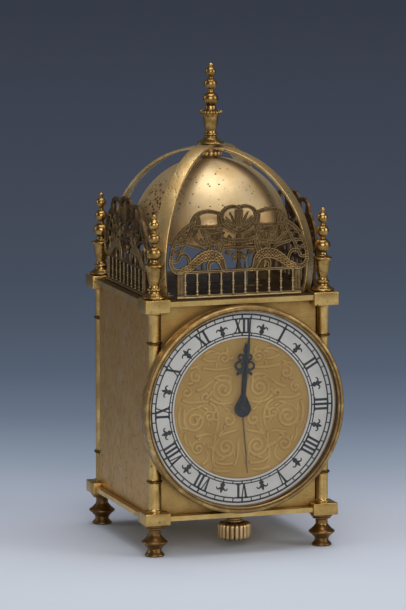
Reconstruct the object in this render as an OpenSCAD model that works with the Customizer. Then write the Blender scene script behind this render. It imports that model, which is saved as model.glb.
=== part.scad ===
// Four-pillar lantern alarm clock. Millimetres, +Z up, the dial faces -Y.
// The origin is the middle of the footprint, on the surface that the feet stand on.

/* [Case frame] */
// Distance between pillar axes, across and in depth
post_pitch = 66; // [64:0.5:72]
// Diameter of the plain pillar shaft
pillar_d = 4.6; // [4:0.1:5.4]
// Length of a pillar between its two corner blocks
pillar_len = 75.2; // [74:0.4:80]
// Diameter of the ring bands on a pillar
band_d = 6; // [5.6:0.1:6.6]
// Height of a ring band
band_h = 0.6; // [0.4:0.1:1]
// Distance of the ring bands above and below the middle of the pillar
band_rise = 26; // [24:0.5:28]
// Side of a square corner block
block_side = 9.66; // [9:0.1:10.4]
// Height of a lower corner block
low_block_h = 4.5; // [4:0.1:5.5]
// Height of an upper corner block
high_block_h = 4.9; // [4.4:0.1:6]
// Thickness of the base plate
base_t = 1.8; // [1.5:0.1:2.5]
// Thickness of the top plate
top_t = 2; // [1.5:0.1:2.5]
// How far the plate edges stay behind the block faces
plate_inset = 0.8; // [0.4:0.1:1.4]
// Thickness of the four case panels
panel_t = 1; // [0.6:0.1:1.2]

/* [Feet and finials] */
// Height of a foot
foot_h = 12.1; // [11:0.1:14]
// Widest diameter of a foot
foot_d = 9.9; // [9:0.1:11]
// Height of a corner finial
finial_h = 31.4; // [29:0.2:34]
// Diameter of a corner finial's flange
finial_flange_d = 8.8; // [8:0.1:9.2]
// Diameter of a corner finial's widest ball
finial_ball_d = 6; // [5:0.1:6.6]
// Height of the top finial
top_finial_h = 30.2; // [28:0.2:34]
// Diameter of the top finial's cone base
top_flange_d = 10.1; // [9:0.1:11]
// Diameter of the top finial's widest ball
top_ball_d = 5.94; // [5:0.1:6.6]

/* [Bell and cage] */
// Outer radius of the strap arch
strap_r = 41.3; // [41:0.1:41.4]
// Height of the arch centre over the top plate
strap_rise = 12.6; // [12.4:0.1:13]
// Width of a strap
strap_w = 5.6; // [5:0.1:6.2]
// Thickness of a strap
strap_t = 1; // [0.8:0.1:1.2]
// Outer radius of the bell
bell_r = 30; // [29.2:0.1:30.6]
// Wall of the bell
bell_t = 1; // [0.8:0.1:1.3]
// Diameter of the stud that carries the bell
stud_d = 2.8; // [2.4:0.1:3.2]
// Height of the beaded nut between the bell and the straps
nut_h = 3.3; // [2.8:0.1:4]
// Beads round the nut
nut_beads = 12; // [8:1:14]

/* [Frets] */
// Width of a fret at its base rail
fret_w = 48.6; // [47:0.2:49.4]
// Height of a fret
fret_h = 34.6; // [33:0.2:36]
// Thickness of a fret
fret_t = 1; // [0.8:0.1:1.2]
// Balusters of a fret, the two beside its end posts included
baluster_count = 10; // [6:1:12]

/* [Dial] */
// Outer radius of the bezel
bezel_r = 39.2; // [36:0.1:42]
// Clearance between the bezel and the base plate
bezel_room = 0.1; // [0.1:0.1:0.4]
// Depth of the bezel
bezel_depth = 5.4; // [5.2:0.1:6]
// Width of the bezel's front, from its outer edge to its lip
lip_w = 2.4; // [2.2:0.1:2.6]
// Gap between the bezel's lip and the chapter ring, seen from the front
ring_gap = 0.2; // [0.1:0.1:0.8]
// Width of the chapter ring
ring_w = 10; // [9:0.1:10.6]
// Thickness of the chapter ring
ring_t = 1; // [0.6:0.1:1]
// Thickness of the dial plate
dial_t = 0.5; // [0.4:0.1:0.8]
// Thickness of the glass
glass_t = 0.8; // [0.6:0.1:0.9]
// Distance of the minute hand's tip from the chapter ring's outer edge
minute_gap = 1.8; // [1.2:0.2:4]
// Distance of the hour hand's tip from the chapter ring's inner edge
hour_gap = 1.6; // [0.8:0.2:2.6]
// Distance of the alarm hand's tip from the chapter ring's inner edge
alarm_gap = 2; // [1:0.2:4]
// Angle of the minute hand past twelve
minute_angle = 4.8; // [0:0.1:6]
// Angle of the hour hand past twelve
hour_angle = 2.8; // [0:0.1:6]
// Angle of the alarm hand past twelve
alarm_angle = 175.2; // [0:0.4:360]

/* [Crown and back controls] */
// Diameter of the fluted crown
crown_d = 12.6; // [11:0.1:14]
// Height of the fluted crown
crown_h = 6; // [5:0.1:6.4]
// Flutes round the crown
crown_flutes = 20; // [14:1:24]
// Distance of the crown stem in front of the case centre
stem_y = 28; // [27.8:0.1:28.4]
// Diameter of the crown stem
stem_d = 2; // [1.6:0.1:2.2]
// Travel of the crown when it is pulled down
crown_pull = 2.5; // [1.5:0.1:3]
// Diameter of the alarm setting knob
knob_d = 11; // [9:0.2:13]
// Diameter of the alarm stop button
button_d = 4.4; // [3.6:0.1:5]
// Travel of the alarm stop button
button_travel = 2.5; // [1.5:0.1:3]

/* [Movement] */
// Width of the movement plates
movement_w = 54; // [53:0.5:56]
// Thickness of the movement plates
movement_t = 1.5; // [1.2:0.1:1.8]
// Clear distance between the movement plates
movement_gap = 20; // [19.8:0.1:20.6]
// Diameter of the wheel arbors
arbor_d = 1.2; // [1:0.1:1.3]
// Diameter of the barrel arbors
barrel_arbor_d = 3; // [2.6:0.1:3.4]
// Module of the barrel teeth
barrel_module = 0.32; // [0.3:0.005:0.33]
// Module of the centre wheel teeth
centre_module = 0.3; // [0.29:0.005:0.31]
// Module of the third wheel teeth
third_module = 0.26; // [0.25:0.005:0.27]
// Module of the fourth wheel teeth
fourth_module = 0.22; // [0.21:0.005:0.23]
// Module of the cannon pinion and minute wheel teeth
motion_module = 0.4; // [0.39:0.005:0.41]

/* [Hidden] */
$fn = 48;
// Running clearance on a radius, and the clearance of a screw or stud in its hole
run = 0.05;
// Clearance on a radius of a hand or crown pressed on its pipe or stem
hub_fit = 0.02;
// Gap kept between neighbours that do not touch
gap = 0.3;

// Case heights, from the table up; the pillars are at least as long as the bezel needs
low_block_top = foot_h + low_block_h;
base_drop = 1.3;
base_z = foot_h + base_drop;
base_top = base_z + base_t;
top_drop = 2.1;
column_h = max(pillar_len, base_top + 2 * (bezel_r + bezel_room) - top_drop - low_block_top);
high_block_z = low_block_top + column_h;
high_block_top = high_block_z + high_block_h;
top_z = high_block_z + top_drop;
top_face = top_z + top_t;
panel_h = top_z - base_top;
// the corner blocks stay clear of the strap feet
post = max(post_pitch / 2, (strap_foot_r(0) + gap) / sqrt(2) + block_side / 2);
plate_half = post + block_side / 2 - plate_inset;
panel_half = post - pillar_d / 2 - gap;
corners = [[-1, -1], [1, -1], [-1, 1], [1, 1]];

// Radii and height of the dial
dial_z = base_top + bezel_room + bezel_r;
lip_r = bezel_r - lip_w;
ring_r = lip_r - ring_gap;
ring_hole_r = ring_r - ring_w;
minute_len = ring_r - minute_gap;
hour_len = ring_hole_r - hour_gap;
alarm_len = ring_hole_r - alarm_gap;

// Depths of the dial, measured forwards from the case centre
pillar_front = post + pillar_d / 2;
dial_back = pillar_front + gap;
dial_front = dial_back + dial_t;
drum_r = panel_half - 1;
drum_t = 1;
bezel_front = dial_back + bezel_depth;
lip_t = 0.5;
lip_slope = 0.45;
bezel_wall = 1.6;
glass_front = bezel_front - lip_slope - lip_t;
glass_back = glass_front - glass_t;
glass_r = bezel_r - bezel_wall - 0.1;
alarm_hand_t = 0.25;
alarm_hand_back = dial_front + ring_t - 0.05;
alarm_hand_front = alarm_hand_back + alarm_hand_t;
hour_hand_t = 0.4;
hour_hand_back = alarm_hand_front + gap;
hour_hand_front = hour_hand_back + hour_hand_t;
minute_hand_t = 0.35;
minute_hand_back = hour_hand_front + gap;
minute_hand_front = minute_hand_back + minute_hand_t;

// Motion work: radii of the pipes, from the centre arbor outwards
arbor_r = arbor_d / 2;
cannon_r = arbor_r + run + 0.25;
hour_bore = cannon_r + run;
hour_pipe_r = hour_bore + 0.45;
alarm_bore = hour_pipe_r + run;
alarm_pipe_r = alarm_bore + 0.5;
dial_hole_r = alarm_pipe_r + 0.2;

// Motion work: depths of the wheels in front of the case centre
front_plate_face = 26;
front_plate_back = front_plate_face - movement_t;
back_plate_face = front_plate_back - movement_gap;
back_plate_back = back_plate_face - movement_t;
wheel_t = 0.6;
cannon_y = front_plate_face + 1.3;
cannon_teeth_t = 1.4;
minute_y = cannon_y + 0.5;
minute_pinion_t = 1.5;
hour_y = minute_y + wheel_t + 0.7;
alarm_y = hour_y + wheel_t + 0.7;

// Tooth counts
barrel_teeth = 72;
centre_pinion_teeth = 12;
centre_teeth = 64;
train_pinion_teeth = 8;
third_teeth = 60;
fourth_teeth = 56;
cannon_teeth = 12;
minute_teeth = 36;
minute_pinion_teeth = 10;
hour_teeth = 40;
alarm_teeth = 48;
alarm_barrel_teeth = 60;
hammer_pinion_teeth = 10;

// Centre distances and places of the arbors, seen from the front, about the dial centre
function mesh_distance(a, b, m) = (a + b) * m / 2;
function polar(at, r, angle) = [at[0] + r * cos(angle), at[1] + r * sin(angle)];
barrel_dir = 225;
barrel_at = polar([0, 0], mesh_distance(barrel_teeth, centre_pinion_teeth, barrel_module), barrel_dir);
third_dir = 60;
third_at = polar([0, 0], mesh_distance(centre_teeth, train_pinion_teeth, centre_module), third_dir);
fourth_dir = 140;
fourth_at = polar(third_at, mesh_distance(third_teeth, train_pinion_teeth, third_module), fourth_dir);
escape_dir = 150;
escape_at = polar(fourth_at, mesh_distance(fourth_teeth, train_pinion_teeth, fourth_module), escape_dir);
escape_r = 4;
pallet_dir = 180;
pallet_at = polar(escape_at, escape_r + 2.2, pallet_dir);
balance_dir = 240;
balance_r = 7;
balance_at = polar(pallet_at, balance_r + 1.2, balance_dir);
motion_d = mesh_distance(cannon_teeth, minute_teeth, motion_module);
hour_module = 2 * motion_d / (minute_pinion_teeth + hour_teeth);
minute_at = [-motion_d, 0];
knob_dir = -10;
knob_at = polar([0, 0], mesh_distance(alarm_teeth, cannon_teeth, motion_module), knob_dir);
alarm_barrel_at = [14, -16];
alarm_module = 0.3;
hammer_wheel_dir = 50;
hammer_wheel_at = polar(alarm_barrel_at,
    mesh_distance(alarm_barrel_teeth, hammer_pinion_teeth, alarm_module), hammer_wheel_dir);
hammer_wheel_r = 5;
post_offset = 24;
movement_post_r = 2;
plate_low = -36.2;
plate_high = 29.8;

// Train depths in front of the case centre: the back face of each wheel
barrel_drum_y = 12;
barrel_drum_h = 10;
barrel_teeth_y = barrel_drum_y + barrel_drum_h + 0.3;
barrel_teeth_t = 1;
barrel_wall = 0.8;
alarm_drum_y = 13;
alarm_drum_h = 9;
centre_wheel_y = 10.2;
third_wheel_y = 16.4;
fourth_wheel_y = 7.8;
escape_wheel_y = 19.5;
balance_y = 11.5;
hammer_wheel_y = 10.2;

// Bell and cage
strap_z = top_face + strap_rise;
strap_cross = 0.1;
under_r = strap_r - strap_t - strap_cross;
bell_rim = 0.7;
bell_crown = 29.9 / 30 * bell_r;
// the bell hangs from the straps, with the nut between them
bell_top = strap_z + under_r - strap_t - nut_h;
bell_z = bell_top - bell_crown;
stud_r = stud_d / 2;
nut_z = bell_top;
finial_z = strap_z + strap_r;
screw_r = 0.75;
screw_head_r = 1.5;
screw_head_h = 0.8;
strap_foot = 5.4;

// Hammer: arbor place, arm and head, seen from the front about the dial centre
hammer_at = [10, 23.8];
hammer_y = 6.5;
hammer_arm_r = 0.8;
hammer_arm_x = 12;
hammer_bend_z = 52;
hammer_head = [21.5, bell_z + 7.8 - dial_z];
hammer_head_r = 2.8;
hammer_head_w = 4.6;
hammer_slot = [12, 5];

// Shared shapes

// A flat shape seen from the front, about the dial centre: front face at depth y + t
module facing(y, t, at = [0, 0]) {
    translate([at[0], -y, dial_z + at[1]]) rotate([90, 0, 0]) linear_extrude(t) children();
}

// A turned shape about an axis that points at the viewer, profile in x = radius, y = depth
module turned_front(at = [0, 0]) {
    translate([at[0], 0, dial_z + at[1]]) rotate([90, 0, 0]) rotate_extrude() children();
}

module disc_front(y, t, r, at = [0, 0]) {
    translate([at[0], -y, dial_z + at[1]]) rotate([90, 0, 0]) cylinder(h = t, r = r);
}

// A round bead of a turned profile
module bead(z, r, h) {
    intersection() {
        translate([r - h / 2, z]) circle(h / 2);
        translate([0, z - h / 2]) square([r + 1, h]);
    }
    translate([0, z - h / 2]) square([max(r - h / 2, 0.01), h]);
}

// A turned upright: stations are [height, radius], beads are [height, radius, thickness]
module turned(stations, beads = []) {
    last = len(stations) - 1;
    rotate_extrude() {
        polygon(concat([[0, stations[0][0]]], [for (s = stations) [s[1], s[0]]],
            [[0, stations[last][0]]]));
        for (b = beads) bead(b[0], b[1], b[2]);
    }
}

// Gear outline with generous backlash; tooth one points along +X
tooth_pitch_half = 0.17;
tooth_tip_half = 0.06;
pinion_pitch_half = 0.15;
pinion_tip_half = 0.05;
tooth_addendum = 0.8;
tooth_dedendum = 1.1;
function tooth_corner(r, w, m, turn) =
    let (a = turn + w * m * 180 / r) [r * cos(a), r * sin(a)];
function gear_points(teeth, m, wide, tip) = let (r = teeth * m / 2,
    root = r - tooth_dedendum * m, crest = r + tooth_addendum * m,
    flank = r + tooth_addendum * m * 0.6, mid = (wide + tip) / 2)
    [for (i = [0 : teeth - 1], p = [[root, -wide], [r, -wide], [flank, -mid], [crest, -tip],
        [crest, tip], [flank, mid], [r, wide], [root, wide]])
        tooth_corner(p[0], p[1], m, 360 * i / teeth)];
module wheel_shape(teeth, m, turn = 0) {
    rotate(turn) polygon(gear_points(teeth, m, tooth_pitch_half, tooth_tip_half));
}
module pinion_shape(teeth, m, mesh_dir) {
    rotate(mesh_dir + 180 + 180 / teeth)
        polygon(gear_points(teeth, m, pinion_pitch_half, pinion_tip_half));
}

// Round windows cut out of a wheel between hub and rim
module crossed_out(hub_r, rim_r, count) {
    difference() {
        children();
        for (i = [0 : count - 1]) rotate(360 * i / count)
            translate([(hub_r + rim_r) / 2, 0]) circle((rim_r - hub_r) / 2);
    }
}

module arbor(at, front, back, r = arbor_r) {
    disc_front(back, front - back, r, at);
}

// Case frame

module notched_square() {
    difference() {
        square(2 * plate_half, center = true);
        for (c = corners) translate([c[0] * post, c[1] * post]) square(block_side, center = true);
    }
}

module base_plate() {
    color("goldenrod") translate([0, 0, base_z]) linear_extrude(base_t) difference() {
        notched_square();
        translate([0, -stem_y]) circle(stem_d / 2 + run);
    }
}

module top_plate() {
    color("goldenrod") translate([0, 0, top_z]) linear_extrude(top_t) difference() {
        notched_square();
        translate([hammer_arm_x, -hammer_y]) square(hammer_slot, center = true);
        for (i = [0 : 3]) rotate(45 + 90 * i)
            translate([strap_foot_r(i) - strap_foot / 2, 0]) circle(screw_r + run);
    }
}

module block_boxes() {
    for (c = corners) translate([c[0] * post, c[1] * post, 0])
        for (b = [[foot_h, low_block_h], [high_block_z, high_block_h]])
            translate([-block_side / 2, -block_side / 2, b[0]])
                cube([block_side, block_side, b[1]]);
}

module corner_blocks() {
    color("gold") block_boxes();
}

module pillar(c) {
    foot_ring_h = 1;
    foot_ring_r = pillar_d / 2 + 0.45;
    middle = low_block_top + column_h / 2;
    color("gold") translate([c[0] * post, c[1] * post, 0]) {
        translate([0, 0, low_block_top]) cylinder(h = column_h, r = pillar_d / 2);
        for (z = [middle - band_rise, middle + band_rise])
            translate([0, 0, z - band_h / 2]) cylinder(h = band_h, r = band_d / 2);
        for (z = [low_block_top, high_block_z - foot_ring_h])
            translate([0, 0, z]) cylinder(h = foot_ring_h, r = foot_ring_r);
    }
}

module foot(c) {
    disc_r = foot_d / 2;
    k = foot_h / 12.1;
    color("darkgoldenrod") translate([c[0] * post, c[1] * post, 0])
        turned([[0, 3.5], [0.5 * k, 3.7], [1.1 * k, 3.3], [2.2 * k, 2.3], [2.7 * k, 2.5],
            [4.3 * k, disc_r - 1], [4.9 * k, disc_r - 0.2], [5.7 * k, disc_r - 0.2],
            [6.4 * k, disc_r - 1.2], [7.6 * k, 2.7], [8.2 * k, 2.3], [10 * k, 2.3],
            [10.6 * k, 3.2], [11.4 * k, 4.2], [foot_h, 4.2]],
            [[5.3 * k, disc_r, 0.9]]);
}

// The finials share one pattern: flange, vase with a rim, three balls of falling size, tip
module finial(c) {
    ball = finial_ball_d / 2;
    flange = finial_flange_d / 2;
    k = finial_h / 31.4;
    color("gold") translate([c[0] * post, c[1] * post, high_block_top])
        turned([[0, flange - 0.2], [1 * k, flange - 0.2], [1.5 * k, 3.3], [2.3 * k, 2.3],
            [4.4 * k, 2], [5.1 * k, 1.75], [6.2 * k, 2.15], [8.5 * k, 2.62], [11.3 * k, 2.95],
            [11.9 * k, 3.3], [12.8 * k, 3.3], [13.2 * k, 2.1], [14 * k, 1.6], [14.8 * k, 1.4],
            [19.6 * k, 1.15], [25.2 * k, 0.95], [29.4 * k, 0.65], [30 * k, 0.7],
            [30.5 * k, 0.95], [31 * k, 0.85], [finial_h, 0.35]],
            [[0.6 * k, flange, 1.1], [3.55 * k, 2.75, 1.1], [12.4 * k, 3.65, 0.9],
            [17.1 * k, ball, 5.3], [22.6 * k, ball - 0.65, 4.5], [27.5 * k, ball - 1.03, 4.1]]);
}

module top_finial() {
    ball = top_ball_d / 2;
    flange = top_flange_d / 2;
    k = top_finial_h / 30.2;
    depth = 3.4;
    color("gold") translate([0, 0, finial_z]) difference() {
        turned([[0, flange], [0.35 * k, flange], [0.8 * k, flange - 0.9], [1.5 * k, 2.9],
            [2.3 * k, 2.3], [4.1 * k, 2.05], [4.6 * k, 1.95], [5.5 * k, 2.3], [7.8 * k, 2.72],
            [10.1 * k, 2.95], [10.8 * k, 3.4], [12.2 * k, 3.4], [12.5 * k, 2.15],
            [14.1 * k, 2.05], [14.4 * k, 1.5], [19 * k, 1.15], [24.4 * k, 0.95],
            [28.4 * k, 0.65], [28.9 * k, 0.7], [29.4 * k, 0.95], [29.9 * k, 0.85],
            [top_finial_h, 0.35]],
            [[3.3 * k, 2.65, 1.1], [11.6 * k, 4.4, 1.1], [16.7 * k, ball, 4.9],
            [22.3 * k, ball - 0.5, 4.2], [26.8 * k, ball - 0.92, 3.8]]);
        translate([0, 0, -1]) cylinder(h = depth + 1, r = stud_r + run);
    }
}

// Bell cage

function strap_radius(i) = i % 2 == 0 ? strap_r : under_r;
function strap_foot_r(i) = sqrt(pow(strap_radius(i), 2) - pow(strap_rise, 2));

// A bent strap: an arch in a diagonal plane with a foot turned in at each end
module strap(r, turn) {
    foot_r = sqrt(r * r - strap_rise * strap_rise);
    rotate(turn) difference() {
        translate([0, strap_w / 2, strap_z]) rotate([90, 0, 0]) linear_extrude(strap_w) {
            intersection() {
                difference() {
                    circle(r, $fn = 160);
                    circle(r - strap_t, $fn = 160);
                }
                translate([-r - 1, -strap_rise]) square([2 * r + 2, r + strap_rise + 1]);
            }
            for (s = [-1, 1]) translate([s * (foot_r - strap_foot / 2), strap_t / 2 - strap_rise])
                square([strap_foot, strap_t], center = true);
        }
        for (s = [-1, 1]) translate([s * (foot_r - strap_foot / 2), 0, top_face - 1])
            cylinder(h = strap_t + 2, r = screw_r + run);
        translate([0, 0, strap_z]) cylinder(h = r + 1, r = stud_r + run);
    }
}

module strap_over() { color("goldenrod") strap(strap_r, 45); }
module strap_under() { color("goldenrod") strap(under_r, -45); }

module cage_nut() {
    bead_r = 0.95;
    ring = 3.45;
    thick = 2 * bead_r;
    color("peru") translate([0, 0, nut_z]) difference() {
        union() {
            cylinder(h = nut_h - 0.1, r = 2.4);
            translate([0, 0, (nut_h - thick) / 2]) intersection() {
                linear_extrude(thick) {
                    circle(ring);
                    for (i = [0 : nut_beads - 1]) rotate(360 * i / nut_beads)
                        translate([ring, 0]) circle(bead_r);
                }
                rotate_extrude() bead(bead_r, ring + bead_r, thick - 0.01);
            }
        }
        translate([0, 0, -1]) cylinder(h = nut_h + 2, r = stud_r + run);
    }
}

module bell() {
    rim_bead = 0.8;
    color("darkgoldenrod") translate([0, 0, bell_z]) difference() {
        rotate_extrude($fn = 160) {
            intersection() {
                difference() {
                    circle(bell_r);
                    circle(bell_r - bell_t);
                }
                translate([0, bell_rim]) square([bell_r + 1, bell_crown - bell_rim]);
            }
            translate([bell_r - bell_t / 2, bell_rim]) circle(rim_bead);
        }
        cylinder(h = bell_r + 1, r = stud_r + run);
    }
}

module bell_stud() {
    hex_r = 3;
    hex_h = 2;
    low = bell_top - bell_t - hex_h - 0.9;
    color("silver") {
        translate([0, 0, low]) cylinder(h = finial_z + 3.2 - low, r = stud_r);
        translate([0, 0, bell_top - bell_t - hex_h - 0.15]) cylinder(h = hex_h, r = hex_r, $fn = 6);
    }
}

// Frets: drawn flat, upright, about the middle of the base rail

function bezier(p, n = 8) = [for (i = [0 : n]) let (t = i / n, u = 1 - t)
    u * u * u * p[0] + 3 * u * u * t * p[1] + 3 * u * t * t * p[2] + t * t * t * p[3]];
function arc(at, r, a0, a1, n = 8) = [for (i = [0 : n]) let (a = a0 + (a1 - a0) * i / n)
    [at[0] + r * cos(a), at[1] + r * sin(a)]];

// A drawn line with round ends, whose width runs from w0 through w1 in the middle to w2
module stroke(points, w0, w1, w2) {
    last = len(points) - 1;
    function width(i) = i <= last / 2 ? w0 + (w1 - w0) * i / (last / 2)
        : w1 + (w2 - w1) * (i - last / 2) / (last / 2);
    function heading(i) = let (d = points[min(i + 1, last)] - points[max(i - 1, 0)])
        atan2(d[1], d[0]);
    function side(i, s) = let (a = heading(i) + s * 90, r = width(i) / 2)
        points[i] + [r * cos(a), r * sin(a)];
    polygon(concat([for (i = [0 : last]) side(i, -1)],
        arc(points[last], w2 / 2, heading(last) - 60, heading(last) + 60, 2),
        [for (i = [last : -1 : 0]) side(i, 1)],
        arc(points[0], w0 / 2, heading(0) + 120, heading(0) + 240, 2)));
}

// The dolphin: snout to the rail, arched back, tail turned up at the outer end
module dolphin() {
    stroke(bezier([[4.4, 10.1], [7.4, 9.8], [5.4, 16.4], [11.3, 16.1]], 10), 1.1, 3, 4.7);
    stroke(bezier([[11.2, 16.1], [16.4, 16], [18, 11.4], [22.2, 10.6]], 8), 4.7, 3.4, 2.4);
    stroke(bezier([[22, 10.6], [25.6, 9.8], [27.4, 12.6], [26.4, 16]], 8), 2.4, 1.7, 1.3);
    // pectoral fin and the props under the belly
    stroke(bezier([[10.2, 14], [12.4, 13.4], [12.2, 11.6], [11.6, 10.2]], 4), 1.8, 1.3, 1.1);
    for (x = [14.2, 17]) stroke([[x, 10.2], [x, 11.4], [x + 0.4, 13.4]], 0.9, 0.8, 0.9);
    // tail leaf that closes the eye-shaped window over the tail
    stroke(bezier([[19.2, 13.2], [19.6, 17.6], [22.8, 17.8], [23.6, 15.4]], 7), 1, 1.3, 1.1);
    stroke(bezier([[23.6, 15.4], [24, 14.2], [25.2, 14], [26.4, 14.6]], 5), 1.1, 1, 1.1);
}

// Twin stems that rise from the tail to the shoulder
module side_stems() {
    stroke(bezier([[26.5, 15], [26.4, 19.2], [24, 25.6], [17.6, 28.2]], 9), 1.3, 1.5, 1.5);
    stroke(bezier([[22.6, 17], [22.2, 20.4], [19.6, 22], [17.8, 27.6]], 7), 1.2, 1.2, 1.2);
    stroke(bezier([[21, 21], [22.4, 20.4], [24, 20.8], [25.2, 20.2]], 4), 1, 0.9, 1);
    stroke(bezier([[16.6, 22.8], [18.4, 23.4], [19.2, 24], [19, 25]], 4), 0.9, 1, 1);
}

// Long window between the shoulder and the crest
module side_window() {
    stroke(bezier([[18.4, 27.6], [17.4, 33.4], [11.4, 33.4], [6.4, 31]], 10), 1.7, 1.5, 1.4);
    stroke(bezier([[16.6, 31.2], [15.4, 29.6], [15.4, 28.2], [16, 26.8]], 4), 1.8, 1.5, 1.7);
    stroke(bezier([[7.4, 31.4], [7.8, 29.8], [7.6, 28.4], [6.8, 26.8]], 4), 1.8, 1.5, 1.7);
    stroke(bezier([[17.8, 27.2], [13.6, 26.6], [10.4, 26.4], [6.4, 27]], 6), 1.5, 1.3, 1.5);
}

// Leaf scrolls between the window and the dolphin's back
module leaf_scrolls() {
    stroke(concat(arc([9.7, 23], 2.4, 100, 380, 14), arc([10.3, 23], 1.5, 60, 190, 5)),
        1.7, 1.3, 1.2);
    translate([9.5, 22.8]) circle(1.05, $fn = 12);
    stroke(bezier([[7.2, 25.9], [8.4, 24.9], [11.4, 25], [13.4, 26.2]], 5), 2, 2.6, 1.6);
    stroke(bezier([[11.8, 23.8], [13.4, 23.4], [14.2, 24.6], [14.2, 26.6]], 5), 1.3, 1.5, 1.2);
    stroke(bezier([[10.6, 20.8], [13.6, 19.2], [16.6, 20.2], [17.2, 24]], 6), 1.3, 1.4, 1);
    stroke(bezier([[13.6, 18.2], [15.6, 19.8], [18.6, 19.6], [21, 21]], 6), 1.4, 1.2, 1);
    stroke(bezier([[8.6, 20.8], [7.2, 20.2], [7.2, 18.6], [8.4, 17.4]], 5), 1.2, 1.1, 1.2);
}

// Centre stem, its knots and the crest of two leaves
module centre_leaves() {
    polygon([[-0.1, 10], [1.3, 10], [0.5, 13.4], [0.6, 17.4], [1.1, 20], [0.7, 24],
        [1.2, 29], [0.7, 34], [0, 34.6], [-0.1, 34.6]]);
    stroke(bezier([[0, 21.4], [2.6, 20.8], [4.6, 22], [7.6, 22.4]], 6), 1.6, 1.2, 1.2);
    stroke(bezier([[6.2, 22.2], [6.4, 20.6], [6.4, 18.8], [7.6, 16.6]], 5), 1.2, 1.2, 1.3);
    stroke(bezier([[0, 18], [2.4, 18.8], [4.4, 18.6], [6.4, 18.2]], 5), 1.6, 1.2, 1.1);
    stroke([[4.3, 18.4], [4.3, 17.6], [4.3, 16.8]], 1, 1.3, 2);
    stroke(bezier([[0, 33.2], [2.6, 35], [6.4, 33.4], [6.8, 30.6]], 8), 1.4, 1.4, 1.5);
    stroke(bezier([[7, 31], [6.2, 27.4], [3.4, 25.4], [0.4, 24.4]], 7), 1.4, 1.6, 1.4);
    stroke(bezier([[6, 29.2], [4, 28.6], [2, 27.4], [0.6, 25.6]], 5), 0.9, 1.1, 0.9);
}

module fret_half() {
    dolphin();
    side_stems();
    side_window();
    leaf_scrolls();
    centre_leaves();
}

// A turned baluster drawn flat, with bead rings and a small arch springing from its head
module baluster() {
    foot_z = 1.6;
    height = 8.1;
    shaft = 0.8;
    translate([-shaft / 2, foot_z - 0.1]) square([shaft, height + 0.2]);
    for (z = [0.16, 0.47, 0.58]) translate([-shaft / 2 - 0.3, foot_z + z * height - 0.2])
        square([shaft + 0.6, 0.4]);
    polygon([[-1.3, foot_z + height + 0.1], [-0.3, foot_z + height - 1.3],
        [0.3, foot_z + height - 1.3], [1.3, foot_z + height + 0.1]]);
}

module fret_shape() {
    rail_h = 1.6;
    post_w = 2.9;
    fence_h = 10.6;
    rail_t = 1;
    pitch = (fret_w - 2 * post_w) / (baluster_count - 1) * 0.985;
    translate([-fret_w / 2, 0]) square([fret_w, rail_h]);
    translate([-fret_w / 2, fence_h - rail_t]) square([fret_w, rail_t]);
    for (s = [-1, 1]) translate([s * (fret_w - post_w) / 2 - post_w / 2, 0])
        square([post_w, fence_h]);
    for (i = [0 : baluster_count - 1]) translate([(i - (baluster_count - 1) / 2) * pitch, 0])
        baluster();
    scale([fret_w / 48.6, fret_h / 34.6]) {
        fret_half();
        mirror([1, 0]) fret_half();
    }
}

module fret(turn) {
    color("saddlebrown") rotate(turn) translate([0, -post + fret_t / 2, top_face])
        rotate([90, 0, 0]) linear_extrude(fret_t) offset(delta = 0.04, chamfer = true)
            offset(delta = -0.04) fret_shape();
}

// Panels

// A panel reaches behind the pillars, with its corners cut out round the blocks
module case_panel(turn, out) {
    rotate(turn) difference() {
        translate([-panel_half, -out, base_top]) cube([2 * panel_half, panel_t, panel_h]);
        block_boxes();
    }
}

module front_panel() {
    color("darkkhaki") difference() {
        case_panel(0, post);
        disc_front(post - panel_t - 1, panel_t + 2, alarm_pipe_r + 1);
    }
}

side_out = post + pillar_d / 2 - 0.7;
module left_panel() { color("olive") case_panel(-90, side_out); }
module right_panel() { color("olive") case_panel(90, side_out); }

button_at = [-12, 24];
button_stem_r = 1;
knob_arbor_r = 0.8;
module back_panel() {
    color("darkkhaki") difference() {
        case_panel(180, post);
        disc_front(-post - 1, panel_t + 2, knob_arbor_r + run, knob_at);
        disc_front(-post - 1, panel_t + 2, button_stem_r + run, button_at);
        for (c = corners) disc_front(-post - 1, panel_t + 2, screw_r + run, c * post_offset);
    }
}

module screw(length) {
    slot = 0.4;
    difference() {
        union() {
            cylinder(h = screw_head_h, r = screw_head_r);
            translate([0, 0, -length]) cylinder(h = length + 0.1, r = screw_r);
        }
        translate([-screw_head_r - 1, -slot / 2, screw_head_h / 2])
            cube([2 * screw_head_r + 2, slot, screw_head_h]);
    }
}

module case_screws() {
    strap_screw = strap_t + top_t + 1;
    panel_screw = panel_t + 5;
    color("silver") {
        for (i = [0 : 3]) rotate(45 + 90 * i)
            translate([strap_foot_r(i) - strap_foot / 2, 0, top_face + strap_t])
                screw(strap_screw);
        for (c = corners) translate([c[0] * post_offset, post, dial_z + c[1] * post_offset])
            rotate([-90, 0, 0]) screw(panel_screw);
    }
}

// Dial

module bezel() {
    wall_r = bezel_r - bezel_wall;
    shoulder = bezel_front - 1.2;
    color("peru") turned_front() polygon([[wall_r, dial_back], [bezel_r, dial_back],
        [bezel_r, shoulder], [bezel_r - 0.25, shoulder + 0.7], [bezel_r - 0.8, bezel_front],
        [bezel_r - 1.2, bezel_front], [lip_r, bezel_front - lip_slope],
        [lip_r, glass_front], [wall_r, glass_front]]);
}

module dial_glass() {
    color("lightcyan", 0.3) disc_front(glass_back, glass_t, glass_r);
}

module dial_plate() {
    color("tan") {
        facing(dial_back, dial_t) difference() {
            circle(glass_r, $fn = 120);
            circle(dial_hole_r);
        }
        facing(post, dial_back - post) difference() {
            circle(drum_r, $fn = 120);
            circle(drum_r - drum_t, $fn = 120);
        }
    }
}

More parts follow.
